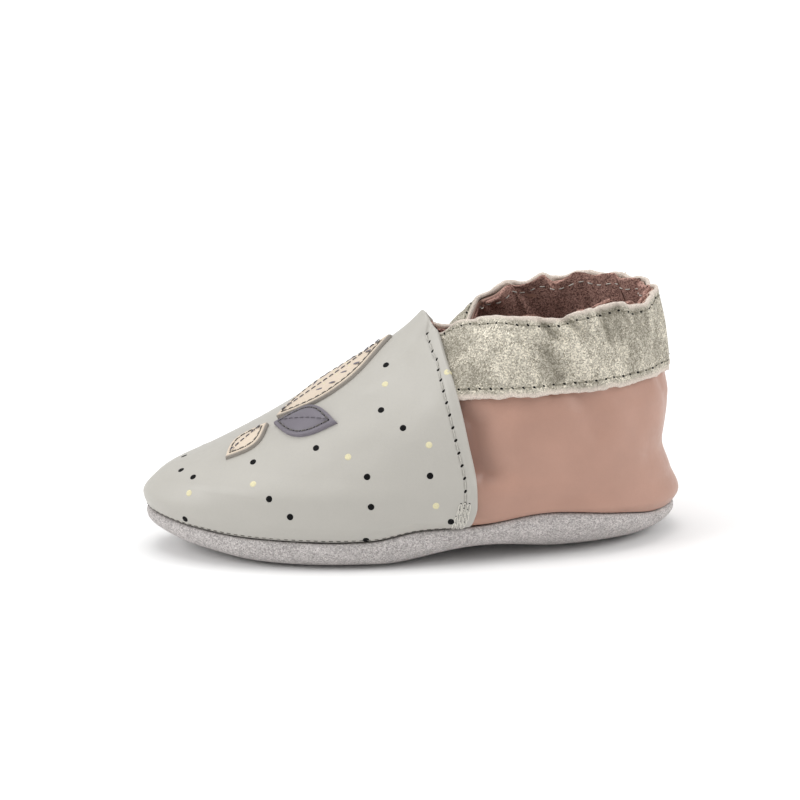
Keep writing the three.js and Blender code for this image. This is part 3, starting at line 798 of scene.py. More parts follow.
def smooth_leather(name, colour, raw, roughness=0.45, grain=0.010 * MM, cloud=0.05):
    """Smooth dyed leather: a fine pebbled grain, faint clouds of colour, painted shade where its attribute
    shade says so, and a paler matt cut edge."""
    finish = Finish(name, {"Specular IOR Level": 0.42, "Coat Weight": 0.06, "Coat Roughness": 0.35})
    clouds = finish.noise(9 * MM, 3)
    fine = finish.noise(0.5 * MM, 2)
    base = finish.blend(finish.spread(clouds, 0.3, 0.7), scaled(colour, 1 - cloud), scaled(colour, 1 + cloud))
    base = finish.blend(finish.spread(fine, 0.35, 0.75, 0, 0.10), base, scaled(colour, 0.78))
    # Painted shade: darker where the attribute shade says so.
    base = finish.blend(finish.attribute("shade"), base, tuple(c**1.25 * 0.6 for c in colour))
    cut = finish.spread(finish.attribute("cut"), 0.10, 0.34, 1, 0)
    fibres = finish.noise(0.16 * MM, 2)
    base = finish.blend(cut, base, finish.blend(fibres, scaled(raw, 0.8), raw))
    pores = finish.cells(0.42 * MM).outputs["Distance"]
    pebbles = finish.bump(finish.spread(pores, 0.05, 0.6), grain)
    normal = finish.bump(fine, grain * 1.6, Normal=pebbles)
    normal = finish.bump(finish.math("MULTIPLY", fibres, cut), 0.12 * MM, Normal=normal)
    rough = finish.spread(finish.noise(1.6 * MM, 3), 0.3, 0.7, roughness - 0.05, roughness + 0.06)
    rough = finish.math("MAXIMUM", rough, finish.spread(cut, 0, 1, 0, 0.9))
    return finish.wear(colour=base, roughness=rough, normal=normal)


def nap_suede(name, colour, dark, speckle=0.5, nap=0.07 * MM, sheen=0.25):
    """Brushed suede: tufts a third of a millimetre wide, each with its own tone, short fibres as fine noise
    in light and dark between them, and broad brush marks that lean the nap."""
    sockets = {"Sheen Weight": sheen, "Sheen Roughness": 0.5, "Sheen Tint": scaled(colour, 1.2)}
    finish = Finish(name, {"Specular IOR Level": 0.2, **sockets})
    tone = finish.tones(finish.cells(0.29 * MM))["Red"]
    fibres = finish.noise(0.3 * MM, 2, 0.6)
    brushed = finish.noise(6 * MM, 3)
    base = finish.blend(finish.spread(brushed, 0.3, 0.7), scaled(colour, 0.93), scaled(colour, 1.06))
    base = finish.blend(finish.spread(tone, 0.55, 0.05, 0, speckle), base, dark)
    base = finish.blend(finish.spread(tone, 0.6, 0.98, 0, speckle), base, scaled(colour, 1.5))
    base = finish.blend(finish.spread(fibres, 0.50, 0.30, 0, speckle), base, dark)
    normal = finish.bump(finish.noise(0.6 * MM, 2), nap * 1.3)
    normal = finish.bump(fibres, nap, Normal=normal)
    return finish.wear(colour=base, roughness=0.95, normal=normal)


def foil_suede(name, foil, shade, raw):
    """Suede printed with a thin champagne foil: flecks a third of a millimetre wide, each with its own tone
    and tilt, some painted pale as glints and partly metallic, more of them in vertical columns of painted
    highlight, dark grains between them, worn bare suede towards the cut edges, painted highlight on the
    folds' crests and painted shade in their troughs (attribute fold, millimetres deep)."""
    finish = Finish(name, {"Specular IOR Level": 0.4})
    flecks = finish.cells(0.28 * MM)
    tone = finish.tones(flecks)
    grain = finish.noise(0.26 * MM, 2, 0.6)
    # Vertical columns of painted highlight, in which more flecks are painted bright.
    highlight_bands = finish.noise(1.8 * MM, 3, place=finish.stretched((1, 1, 7)))
    patches = finish.spread(finish.math("ADD", highlight_bands, finish.noise(5 * MM, 2)), 0.75, 1.25, -0.22, 0.22)
    # The attribute fold paints highlight on the folds' crests and shade in their troughs: more bright flecks
    # on the crests, more dark ones in the troughs.
    fold = finish.attribute("fold")
    patches = finish.math("ADD", patches, finish.spread(fold, -0.6, 2.0, 0.17, -0.17))
    bright = finish.spread(finish.math("ADD", tone["Red"], patches), 0.66, 0.92)
    base = finish.blend(finish.spread(tone["Green"], 0.1, 0.9), scaled(foil, 0.78), scaled(foil, 1.12))
    dull_and_shaded = finish.spread(finish.math("ADD", tone["Blue"], patches), 0.42, 0.12)
    base = finish.blend(finish.math("MULTIPLY", dull_and_shaded, 0.7), base, shade)
    base = finish.blend(finish.spread(grain, 0.42, 0.30, 0, 0.8), base, scaled(shade, 0.7))
    # Painted glints: bright flecks painted pale, besides their metallic gloss.
    base = finish.blend(finish.math("MULTIPLY", bright, 0.8), base, scaled(foil, 1.7))
    # Painted shade in the deep folds and beside the vamp.
    base = finish.blend(finish.spread(fold, 0.9, 2.9, 0, 0.5), base, scaled(shade, 0.8))
    edge = finish.math("ADD", finish.attribute("cut"), finish.spread(grain, 0.3, 0.7, -0.4, 0.4))
    bare = finish.spread(edge, 0.5, 1.5, 1, 0)
    fuzz = finish.blend(finish.spread(grain, 0.35, 0.65), scaled(raw, 0.68), scaled(raw, 1.1))
    base = finish.blend(bare, base, fuzz)
    covered = finish.spread(bare, 0, 1, 1, 0)
    metallic = finish.math("MULTIPLY", finish.spread(bright, 0, 1, 0.1, 0.6), covered)
    rough = finish.spread(finish.math("MULTIPLY", bright, covered), 0, 1, 0.65, 0.32)
    normal = finish.bump(flecks.outputs["Distance"], 0.14 * MM, 0.9)
    normal = finish.bump(grain, 0.09 * MM, Normal=normal)
    return finish.wear(colour=base, roughness=rough, normal=normal, metallic=metallic)


def twisted_thread(name, colour):
    """Sewing thread: matt, with the fine light and dark of its twist."""
    finish = Finish(name, {"Specular IOR Level": 0.3, "Sheen Weight": 0.2})
    twist = finish.noise(0.12 * MM, 1)
    base = finish.blend(finish.spread(twist, 0.35, 0.65), scaled(colour, 0.75), scaled(colour, 1.1))
    return finish.wear(colour=base, roughness=0.7, normal=finish.bump(twist, 0.04 * MM))


def ink_and_hole_shade(name, colour):
    """Screen-printed ink, also used for the painted shade of the needle holes: thin and slightly uneven, so
    that the grain below shows in its gloss.
    """
    finish = Finish(name, {"Specular IOR Level": 0.12})
    grain = finish.noise(0.3 * MM, 2)
    base = finish.blend(finish.spread(grain, 0.35, 0.7, 0, 0.35), colour, scaled(colour, 1.5))
    rough = finish.spread(grain, 0.3, 0.7, 0.4, 0.6)
    return finish.wear(colour=base, roughness=rough, normal=finish.bump(grain, 0.012 * MM))


# Settings that a user would change


def tint(label, code, about):
    """A setting that holds a colour."""
    return FloatVectorProperty(
        name=label, description=about, subtype="COLOR", size=3, min=0, max=1, default=linear(code)
    )


def length(label, value, about):
    """A setting that holds a length."""
    return FloatProperty(name=label, description=about, unit="LENGTH", min=0, default=value, precision=5)


def power(label, value, about):
    """A setting that holds a light's power."""
    return FloatProperty(name=label, description=about, unit="POWER", min=0, default=value)


class SlipperSole(bpy.types.PropertyGroup):
    suede: tint("Suede", "#bbb6b4", "Colour of the sole's suede")
    grain: tint("Dark fibres", "#74706e", "Colour between the sole's fibres")
    insole: tint("Insole", "#9a756b", "Colour of the insole's suede")
    pucker: length("Pucker", 0.16 * MM, "Depth of the small folds under the sole's rim")


class SlipperUpper(bpy.types.PropertyGroup):
    quarter: tint("Quarter", "#ac8676", "Colour of the rear quarter's leather")
    quarter_cut: tint("Cut edge", "#c8a698", "Colour of the quarter's cut edge")
    lining: tint("Lining", "#ab877c", "Colour of the collar's suede lining")
    lining_dark: tint("Lining fibres", "#472f29", "Colour between the lining's fibres")
    wrinkle: length("Lining wrinkles", 0.5 * MM, "Depth of the lining's wrinkles in the gathered collar")


class SlipperVamp(bpy.types.PropertyGroup):
    leather: tint("Leather", "#b0ada6", "Colour of the vamp's leather")
    cut: tint("Cut edge", "#c2bfb8", "Colour of the vamp's cut edge")
    edge_radius: length("Edge radius", 0.5 * MM, "Radius to which the vamp's cut edges are worn round")
    groove: length("Stitch groove", 0.24 * MM, "Depth to which the stitches pull the vamp down")
    dot_radius: length("Dot radius", 0.82 * MM, "Radius of the printed dots")
    dark_ink: tint("Dark ink", "#060607", "Colour of the dark dots")
    pale_ink: tint("Pale ink", "#cdc6a4", "Colour of the pale dots")


class SlipperCuff(bpy.types.PropertyGroup):
    foil: tint("Foil", "#b7b1a3", "Colour of the champagne foil")
    # Also the colour of the painted shade in the folds' troughs and beside the vamp.
    shade: tint("Grain", "#6e6857", "Colour of the dark grain between the flecks of foil")
    bare: tint("Bare suede", "#dccfc3", "Colour of the bare suede at the cuff's cut edges")
    flare: length("Flare", 0.3 * MM, "How far the cuff's lower edge stands off the quarter")


class SlipperLeaves(bpy.types.PropertyGroup):
    cream: tint("Cream", "#cfc0ae", "Colour of the pale leaves")
    slate: tint("Slate", "#6d6870", "Colour of the dark leaf")
    cut: tint("Cut edge", "#a19a92", "Colour of the leaves' cut edges")
    dome: length("Dome", 0.3 * MM, "Height to which a leaf swells inside its stitches")


class SlipperThread(bpy.types.PropertyGroup):
    pale: tint("Pale thread", "#bdbab2", "Colour of the thread on the vamp")
    gold: tint("Gold thread", "#8f8a7a", "Colour of the thread on the cuff")
    dark: tint("Dark thread", "#625e59", "Colour of the thread on the seam and the leaves")
    # The needle holes are painted: a dark spot of this colour stands for the shade inside each hole.
    hole: tint("Needle hole", "#100e0d", "Colour inside the needle holes")
    radius: length("Thread radius", 0.15 * MM, "Half of the thread's thickness")
    vamp_pitch: length("Vamp pitch", 3.1 * MM, "Length of one stitch on the vamp")
    cuff_pitch: length("Cuff pitch", 2.6 * MM, "Length of one stitch on the cuff")


class SlipperStudio(bpy.types.PropertyGroup):
    floor: tint("Floor", "#f4f4f4", "Colour of the floor")
    left_power: power("Left light", 40, "Power of the light over the toe")
    right_power: power("Right light", 36, "Power of the light over the heel")
    top_power: power("Top light", 31, "Power of the light above")
    sky: FloatProperty(name="Surroundings", description="Brightness of the white surroundings", default=0.64)


# Soles

# Width of the folds below the sole's rim, the steps where they end and are full, the step from which the
# sole looks straight down, and the step at which the insole's edge lies.
RIM_FOLD = 2.1 * MM
RIM_FOLD_END = 0.34
RIM_FOLD_FULL = 0.06
FLAT_STEP = 0.8
INSOLE_RIM = 0.05


def mirrored_angles(count):
    """Angles round the ring, as many on each side of the toe, evenly spaced along the foot's outline."""
    dense = np.linspace(0, np.pi, 2001)
    outline = form(dense, 0.0)
    run = distances(outline)
    half = np.interp((np.arange(count) + 0.5) / count * run[-1], run, dense)
    return np.concatenate([-half[::-1], half])


def sole_face(angle, step, distance, pucker_depth=0.0):
    """The sole's outer face moved out by a distance, with the folds below its rim and the rim's tuck."""
    point, normal = with_normal(sole_form, angle, step, -1, SOLE_RIM_FADE)
    flat = ramp(CURL_END, FLAT_STEP, step)[..., None]
    normal = unit(mix(normal, np.array([0, 0, -1.0]), flat))
    around = angle * LENGTH / 2
    fade = ramp(RIM_FOLD_END, RIM_FOLD_FULL, step)
    folds = wobble(around / RIM_FOLD + 60, step * 3, 11) * fade * pucker_depth
    tuck = tuck_in(step * 0.35) * TUCK_SHARES[2]
    return point + normal * (distance - folds - tuck)[..., None]


def make_outsole(settings):
    """The suede sole: its outer face to the spine, its inner face above it, and the rim between them."""
    angle = mirrored_angles(270)
    outer_step = runs((0, 0.06, 8), (0.06, CURL_END, 44), (CURL_END, 1, 14))
    inner_step = runs((0, CURL_END, 12), (CURL_END, 1, 8))
    outer = sole_face(*np.meshgrid(angle, outer_step), 0.0, settings.pucker)
    inner = sole_face(*np.meshgrid(angle, inner_step), -SOLE_WALL)
    obj = shell("suede_outsole", outer, inner, wrap=True, joined=False, weld=True)
    finish = nap_suede("sole suede", settings.suede, settings.grain, 0.55, 0.08 * MM, 0.2)
    return dressed(obj, "sole_suede", finish, "outsole")


def make_insole(settings):
    """The insole: a thin suede sheet that lies in the sole's dish and turns up at its edge to the seam."""
    angle = mirrored_angles(180)
    step = runs((INSOLE_RIM, 0.35, 16), (0.35, 1, 28))
    bottom = -(SOLE_WALL + CLEARANCE)
    grid = np.meshgrid(angle, step)
    edge = (grid[1] - INSOLE_RIM) * 16 * MM
    upper = sole_face(*grid, bottom - INSOLE_WALL * (0.5 + 0.5 * rounded(edge, 0.6 * MM)))
    lower = sole_face(*np.meshgrid(angle, runs((INSOLE_RIM, 0.35, 8), (0.35, 1, 14))), bottom)
    obj = shell("suede_insole", lower, upper, wrap=True, joined=False, weld=True)
    finish = nap_suede("insole suede", settings.insole, scaled(settings.insole, 0.6), 0.4)
    return dressed(obj, "lining_suede", finish, "insole")


# Upper

# Painted shade on the quarter behind the vamp's edge, where the quarter tucks under it: how far back it
# reaches, in millimetres, and the rises where it starts, is full, starts to fade and has faded.
PAINTED_SHADE_REACH = 7
PAINTED_SHADE_RISES = (0.22, 0.42, 0.58, 0.72)

# Gap inside the upper's wall between the quarter and the lining.
LINING_GAP = 0.05 * MM


def station_angle(station, rise):
    """Signed angle of a station: 0 at the toe, 1 or -1 at the vamp's edge, 2 or -2 at the heel."""
    edge = edge_angle(rise)
    place = np.abs(station)
    return np.sign(station) * np.where(place < 1, place * edge, mix(edge, np.pi, place - 1))


def round_stations(front, rear):
    """Stations round the shoe, front of them from the toe to the vamp's edge and rear to the heel."""
    half = runs((0, 1, front), (1, 2, rear))
    return np.concatenate([-half[:0:-1], half[:-1]])


def ragged(angle, size, seed):
    """A hand-cut edge's small wander, up to a size in rises on either side."""
    broad = wobble(angle * 14 + 50, angle * 0 + seed, seed)
    return broad * size + wobble(angle * 45 + 99, angle * 0, seed) * size / 2


def make_quarter(settings):
    """The quarter's leather: the upper's outer skin, which ends under the cuff just below the topline."""
    station = round_stations(36, 172)
    half = QUARTER_WALL / 2

    def face(levels, side):
        place, level = np.meshgrid(station, levels)
        edge = (QUARTER_TOP - level) * RISE_LENGTH
        behind = np.maximum(0, np.abs(place) - 1) * PLACE_LENGTH / MM
        # Painted shade on the outer face just behind the vamp's edge.
        start, full, fading, faded = PAINTED_SHADE_RISES
        shade = ramp(PAINTED_SHADE_REACH, 0, behind) ** 1.5 * ramp(start, full, level) * ramp(faded, fading, level)
        points = upper_face(station_angle(place, level), level, -half + side * half * rounded(edge, half))
        return points, edge / MM, shade * (side > 0)

    levels = runs((0, 0.03, 10), (0.03, 0.70, 118), (0.70, 0.97, 12), (0.97, QUARTER_TOP, 5))
    outer, *outer_marks = face(levels, 1)
    inner, *inner_marks = face(runs((0, 0.97, 14), (0.97, QUARTER_TOP, 4)), -1)
    attributes = dict(zip(("cut", "shade"), zip(outer_marks, inner_marks)))
    obj = shell("quarter_leather", outer, inner, wrap=True, weld=True, attributes=attributes)
    finish = smooth_leather("quarter leather", settings.quarter, settings.quarter_cut, 0.42, 0.007 * MM, 0.05)
    return dressed(obj, "quarter_leather", finish, "upper")


def lining_relief(angle, rise, depth):
    """Wrinkles of the lining: noise drawn out along the height, deepest in the gathered collar."""
    fine = drawn_out(angle, rise, 1.5 * MM, 9 * MM, 33, 21)
    broad = drawn_out(angle, rise, 3.8 * MM, 14 * MM, 33, 22)
    gathered = ramp(0.5, 0.85, rise)
    return depth * gathered * (0.5 * fine + broad) + 0.3 * depth * broad


def make_lining(settings):
    """The suede lining: the upper's inner skin, with its wrinkles, from the sole seam to the topline."""
    station = round_stations(70, 190)
    wall = UPPER_WALL - QUARTER_WALL - LINING_GAP
    middle = -UPPER_WALL + wall / 2

    def face(levels, side):
        place, level = np.meshgrid(station, levels)
        angle = station_angle(place, level)
        top = LINING_TOP + ragged(angle, 1 - LINING_TOP, 31)
        level = level * top
        edge = (top - level) * RISE_LENGTH
        offset = middle + side * wall / 2 * rounded(edge, wall / 2)
        fold = lining_relief(angle, level, settings.wrinkle) * (side < 0)
        return upper_face(angle, level, offset - fold), edge / MM

    inside, inside_edge = face(runs((0, 0.5, 30), (0.5, 0.98, 76), (0.98, 1, 7)), -1)
    outside, outside_edge = face(runs((0, 0.98, 16), (0.98, 1, 5)), 1)
    obj = shell("suede_lining", inside, outside, wrap=True, attributes={"cut": (inside_edge, outside_edge)})
    finish = nap_suede("lining suede", settings.lining, settings.lining_dark, 0.75, 0.08 * MM, 0.25)
    return dressed(obj, "lining_suede", finish)


# Vamp

# Width of the band of fixed lanes along the vamp's edge, and how far inside the edge it is sewn.
BAND = 4.6 * MM
STITCH_INSET = 3 * MM

# Width of the groove under the stitches, the swell between them and the edge (its height, place and width),
# the height of the leather's waves, and how far the vamp's inner face lies below its form.
GROOVE_WIDTH = 0.4 * MM
SWELL_HEIGHT = 0.14 * MM
SWELL_INSET = 1.7 * MM
SWELL_WIDTH = 0.9 * MM
WAVE_HEIGHT = 0.10 * MM
VAMP_BEDDING = 0.12 * MM


def vamp_angles(rise):
    """Angles across the vamp from its outer to its inner rear edge at each rise: lanes of fixed width along
    each edge, even shares between them."""
    edge, speed = edge_angle(rise)[:, None], edge_speed(rise)[:, None]
    lanes = runs((0, 0.5 * MM, 7), (0.5 * MM, 2 * MM, 6), (2 * MM, 4 * MM, 12), (4 * MM, BAND, 2))
    near = edge - lanes[:-1] / speed
    middle = (edge - BAND / speed) * runs((1, 0, 96)) ** 1.1
    half = np.concatenate([near, middle], axis=1)
    return np.concatenate([-half, half[:, -2::-1]], axis=1)


def vamp_top(angle, rise, settings):
    """The vamp's outer face: its wall worn round at the cut edges, a groove under the stitches, a soft
    swell beside it, and faint waves of the leather."""
    away = np.maximum(0, ahead_of_edge(angle, rise))
    edge = np.minimum(away, (1 - rise) * RISE_LENGTH)
    wall = VAMP_WALL * (0.02 + 0.98 * rounded(edge, settings.edge_radius))
    groove = settings.groove * bell(away, STITCH_INSET, GROOVE_WIDTH) * ramp(0.05, 0.2, rise)
    swell = SWELL_HEIGHT * bell(away, SWELL_INSET, SWELL_WIDTH)
    waves = wobble(angle * 5 + 30, rise * 6, 41) * WAVE_HEIGHT * ramp(0, 6 * MM, edge)
    return vamp_face(angle, rise, wall - groove + swell + waves)


def make_vamp(settings):
    """The vamp: smooth leather over the front, lapped over the quarter and the cuff's ends."""
    rise = runs((0, 0.03, 12), (0.03, 0.97, 270), (0.97, 1, 14))
    angle = vamp_angles(rise)
    level = np.broadcast_to(rise[:, None], angle.shape)
    outer = vamp_top(angle, level, settings)
    edge = np.minimum(ahead_of_edge(angle, level), (1 - level) * RISE_LENGTH) / MM
    inner_rise = runs((0, 1, 12))
    inner_angle = vamp_angles(inner_rise)
    inner = vamp_face(inner_angle, inner_rise[:, None], -VAMP_BEDDING)
    obj = shell("vamp_leather", outer, inner, attributes={"cut": (edge, inner_angle * 0)})
    finish = smooth_leather("vamp leather", settings.leather, settings.cut, 0.44, 0.006 * MM, 0.015)
    return dressed(obj, "vamp_leather", finish, "vamp")


# Cuff

# How far inside the cuff's edges it is sewn, depth and width of the groove there, the height over which its
# flare at the lower edge fades out, and how far its hand-cut edges wander, in rises.
CUFF_STITCH_INSET = 2.3 * MM
CUFF_GROOVE = 0.12 * MM
CUFF_GROOVE_WIDTH = 0.5 * MM
FLARE_FADE = 1.3 * MM
CUFF_WANDER = 0.004

# Painted shade on the foil beside the vamp: how far it reaches and the fold depth in millimetres that it is
# painted as dark as.
CUFF_SHADE_REACH = 11 * MM
CUFF_SHADE_DEPTH = 1.6


def cuff_angle(place, rise):
    """Angle of a place on the cuff: -1 at its inner end, 0 at the heel, 1 at its outer end."""
    tuck = edge_angle(rise) - CUFF_TUCK / edge_speed(rise)
    return np.pi + place * (np.pi - tuck)


def cuff_relief(height, edge, settings):
    """How far the cuff's outer face flares at its lower edge, and is pressed in where it is sewn."""
    flare = settings.flare * np.exp(-height / FLARE_FADE)
    return flare, CUFF_GROOVE * bell(edge, CUFF_STITCH_INSET, CUFF_GROOVE_WIDTH)


def cuff_face(place, share, side, settings):
    """The cuff's outer (side 1) or inner (side -1) face: share runs from its lower to its upper edge, both
    cut by hand and worn round, and the lower edge flares a little off the quarter."""
    bottom = CUFF_RISE + ragged(place * 2, CUFF_WANDER, 51)
    top = CUFF_TOP + ragged(place * 2, CUFF_WANDER, 52)
    rise = mix(bottom, top, share)
    angle = cuff_angle(place, rise)
    edge = np.minimum(rise - bottom, top - rise) * RISE_LENGTH
    half = CUFF_WALL / 2
    flare, pressed = cuff_relief((rise - bottom) * RISE_LENGTH, edge, settings)
    offset = CLEARANCE + half + side * half * rounded(edge, half) + flare - pressed * (side > 0)
    return upper_face(angle, rise, offset), edge, angle, rise


def make_cuff(settings):
    """The gathered cuff of gold suede round the collar."""
    place = np.linspace(-1, 1, 447)
    grid = np.meshgrid(place, runs((0, 0.05, 8), (0.05, 0.95, 66), (0.95, 1, 8)))
    outer, outer_edge, angle, rise = cuff_face(*grid, 1, settings)
    behind = (1 - np.abs(from_heel(wrapped(angle), rise))) * PLACE_LENGTH
    # The attribute fold: the depth of the creases, puckers and gathers, from which the foil paints highlight
    # and shade.
    fold = (crease_depth(angle, rise) + pucker(angle, rise) + gather_depth(angle, rise) * FOLD_DEPTH) / MM
    # A made-up fold depth beside the vamp, so that the foil paints shade there.
    fold = fold + CUFF_SHADE_DEPTH * ramp(CUFF_SHADE_REACH, 0, behind)
    grid = np.meshgrid(place, runs((0, 0.05, 4), (0.05, 0.95, 6), (0.95, 1, 4)))
    inner, inner_edge, *_ = cuff_face(*grid, -1, settings)
    attributes = {"cut": (outer_edge / MM, inner_edge / MM), "fold": (fold, inner_edge * 0)}
    obj = shell("gold_cuff", outer, inner, weld=True, attributes=attributes)
    finish = foil_suede("gold suede", settings.foil, settings.shade, settings.bare)
    return dressed(obj, "cuff_suede", finish, "cuff")


# Places on a face

NEWTON_STEPS = 12
SPOT_SIDES = 20
HOLE_LIFT = 0.03 * MM


def land(face, starts, directions):
    """Angle and rise at which straight lines meet a face of the vamp: Newton's steps on the two distances
    across each line, from the nearest point of a coarse grid whose normal looks back along the line."""
    angle, rise = np.meshgrid(np.linspace(-1.9, 1.9, 80), np.linspace(0.01, 0.99, 40))
    inside = np.abs(angle) < edge_angle(rise)
    angle, rise = angle[inside], rise[inside]
    grid, normal = facing(face, angle, rise)
    across = unit(np.cross(directions, [0.0, 0.0, 1.0]))
    over = np.cross(across, directions)
    aside = grid @ across.T - (starts * across).sum(-1)
    above = grid @ over.T - (starts * over).sum(-1)
    behind = (normal @ directions.T > 0) * LENGTH
    near = (np.hypot(aside, above) + behind).argmin(axis=0)
    angle, rise = angle[near], rise[near]

    def miss(angle, rise):
        gap = face(angle, rise) - starts
        return (gap * across).sum(-1), (gap * over).sum(-1)

    for _ in range(NEWTON_STEPS):
        u, v = miss(angle, rise)
        (u_a, v_a), (u_r, v_r) = miss(angle + TINY, rise), miss(angle, rise - TINY)
        u_a, v_a, u_r, v_r = (u_a - u) / TINY, (v_a - v) / TINY, (u - u_r) / TINY, (v - v_r) / TINY
        size = u_a * v_r - u_r * v_a
        angle = angle - np.clip((u * v_r - u_r * v) / size, -0.1, 0.1)
        rise = np.clip(rise - np.clip((u_a * v - u * v_a) / size, -0.05, 0.05), 0.002, 1)
    return angle, rise


def slopes(face, angle, rise):
    """A face's slopes along the angle and the rise, and the unit directions up it and to its side."""
    point = face(angle, rise)
    slope_a = (face(angle + TINY, rise) - point) / TINY
    slope_r = (point - face(angle, rise - TINY)) / TINY
    up = unit(slope_r)
    return slope_a, slope_r, up, unit(slope_a - (slope_a * up).sum(-1, keepdims=True) * up)


def nearby(face, angle, rise, along, across):
    """Angle and rise of points beside a point on a face: along goes up the rise and across to its side,
    both in metres, turned into steps of angle and rise by the face's two slopes."""
    slope_a, slope_r, up, side = slopes(face, angle, rise)
    step_a = across / (slope_a * side).sum(-1)
    step_r = (along - step_a * (slope_a * up).sum(-1)) / (slope_r * up).sum(-1)
    return angle + step_a, rise + step_r


def spots(name, face, angle, rise, reach, breadth, turn, depth=0.02 * MM):
    """Thin spots that follow a face, for print and for the painted shade of needle holes: rings of points
    round each centre, reach along its heading and breadth across it, a hair above the face and turned down
    into it at their rim."""
    shape = (len(angle), 1, 1)
    reach, breadth, turn = (np.broadcast_to(np.reshape(v, (-1, 1, 1)), shape) for v in (reach, breadth, turn))
    rings = np.array([0.0, 0.55, 0.93, 1.0, 0.0])
    lifts = np.array([1.0, 1.0, 0.9, -1.0, -1.5]) * depth
    around = np.linspace(0, 2 * np.pi, SPOT_SIDES, endpoint=False)
    u = rings[None, :, None] * np.cos(around) * reach
    v = rings[None, :, None] * np.sin(around) * breadth
    c, s = np.cos(turn), np.sin(turn)
    a, r = nearby(face, angle[:, None, None], rise[:, None, None], u * c - v * s, u * s + v * c)
    point, normal = facing(face, a, np.minimum(r, 1))
    rows = point + normal * lifts[None, :, None, None]
    index = np.arange(rows[..., 0].size).reshape(rows.shape[:3])
    index = np.concatenate([index, index[..., :1]], axis=2)
    quads = np.stack([index[:, :-1, :-1], index[:, :-1, 1:], index[:, 1:, 1:], index[:, 1:, :-1]], axis=-1)
    points, faces, _ = welded(rows.reshape(-1, 3), [quads.reshape(-1, 4)], {})
    return mesh_object(name, points, faces)


# Sewing

# Places of a thread's points along it, from -1 to 1, and their heights over the face in radii.
THREAD_SHARES = np.linspace(-1, 1, 9)
THREAD_HEIGHTS = 1.1 - 2.4 * THREAD_SHARES**6

# Rises between which the vamp's edge is sewn, and those of the cuff's two stitch lines.
VAMP_SEWN = (0.185, 0.965)
CUFF_SEWN = (CUFF_RISE + 0.04, 0.956)
CUFF_SEWN_END = 0.93

# Bar-tack at the foot of each edge: columns, links of a column, the rises of the lowest and the highest
# link, the step between columns, the first column's inset, the spacing, and a link's half length and width.
BAR_COLUMNS = 3
BAR_LINKS = 4
BAR_RISES = (0.028, 0.152)
BAR_STAGGER = 0.008
BAR_INSET = 2.3 * MM
BAR_SPACING = 1 * MM
LINK_REACH = 1.25 * MM
LINK_BREADTH = 0.36 * MM

# Seam at the sole: the rise and pitch of its stitches, how high they stand, and their thread's radius.
SEAM_RISE = 0.012
SEAM_PITCH = 1.8 * MM
SEAM_STAND = 0.11 * MM
SEAM_RADIUS = 0.14 * MM

# Radii of the needle holes of each line, and how much longer than wide they are.
VAMP_HOLE = 0.31 * MM
BAR_HOLE = 0.22 * MM
CUFF_HOLE = 0.27 * MM
LEAF_HOLE = 0.20 * MM
HOLE_STRETCH = 1.6
CUFF_HOLE_STRETCH = 1.5


def sewn(face, angle, rise, pitch, radius, cover=0.74):
    """A line of running stitches on a face, from a path of angles and rises: each thread's nine points,
    their normals, and the angle and rise of the needle holes between the threads."""
    points = face(angle, rise)
    run = distances(points)
    count = max(2, round(run[-1] / pitch))
    step = run[-1] / count
    at = (np.arange(count)[:, None] + 0.5 + THREAD_SHARES * cover / 2) * step
    a, r = np.interp(at, run, angle), np.interp(at, run, rise)
    point, normal = facing(face, a, r)
    height = radius * THREAD_HEIGHTS[:, None]
    holes = np.arange(count + 1) * step
    return point + normal * height, normal, np.interp(holes, run, angle), np.interp(holes, run, rise)


def stitch_line(name, lines, radius, slot, finish):
    """One object for the threads of several lines of stitches."""
    paths = np.concatenate([line[0] for line in lines])
    normals = np.concatenate([line[1] for line in lines])
    return dressed(tubes(name, paths, normals, radius), slot, finish)


def holes_at(name, face, lines, radius, slot, finish, turn=0.0, stretch=1.3):
    """One object for the needle holes of several lines of stitches, dark spots of painted shade, each a
    little longer along its line, which is turned from up the rise."""
    angle = np.concatenate([line[2] for line in lines])
    rise = np.concatenate([line[3] for line in lines])
    holes = spots(name, face, angle, rise, radius * stretch, radius, turn, HOLE_LIFT)
    return dressed(holes, slot, finish)


def vamp_stitches(settings, vamp):
    """The stitches and holes along both rear edges of the vamp, from above the bar-tack to the throat."""
    rise = np.linspace(*VAMP_SEWN, 400)

    def face(angle, rise):
        return vamp_top(angle, rise, vamp)

    inset = edge_angle(rise) - STITCH_INSET / edge_speed(rise)
    lines = [sewn(face, side * inset, rise, settings.vamp_pitch, settings.radius) for side in (-1, 1)]
    # The needle holes are dark spots of painted shade.
    pale, dark = twisted_thread("vamp thread", settings.pale), ink_and_hole_shade("needle hole", settings.hole)
    stitch_line("vamp_stitches", lines, settings.radius, "vamp_leather", pale)
    holes_at("vamp_needle_holes", face, lines, VAMP_HOLE, "vamp_leather", dark, 0.0, HOLE_STRETCH)
    bar_tacks(settings, face, twisted_thread("bar tack thread", scaled(settings.pale, 1.35)))


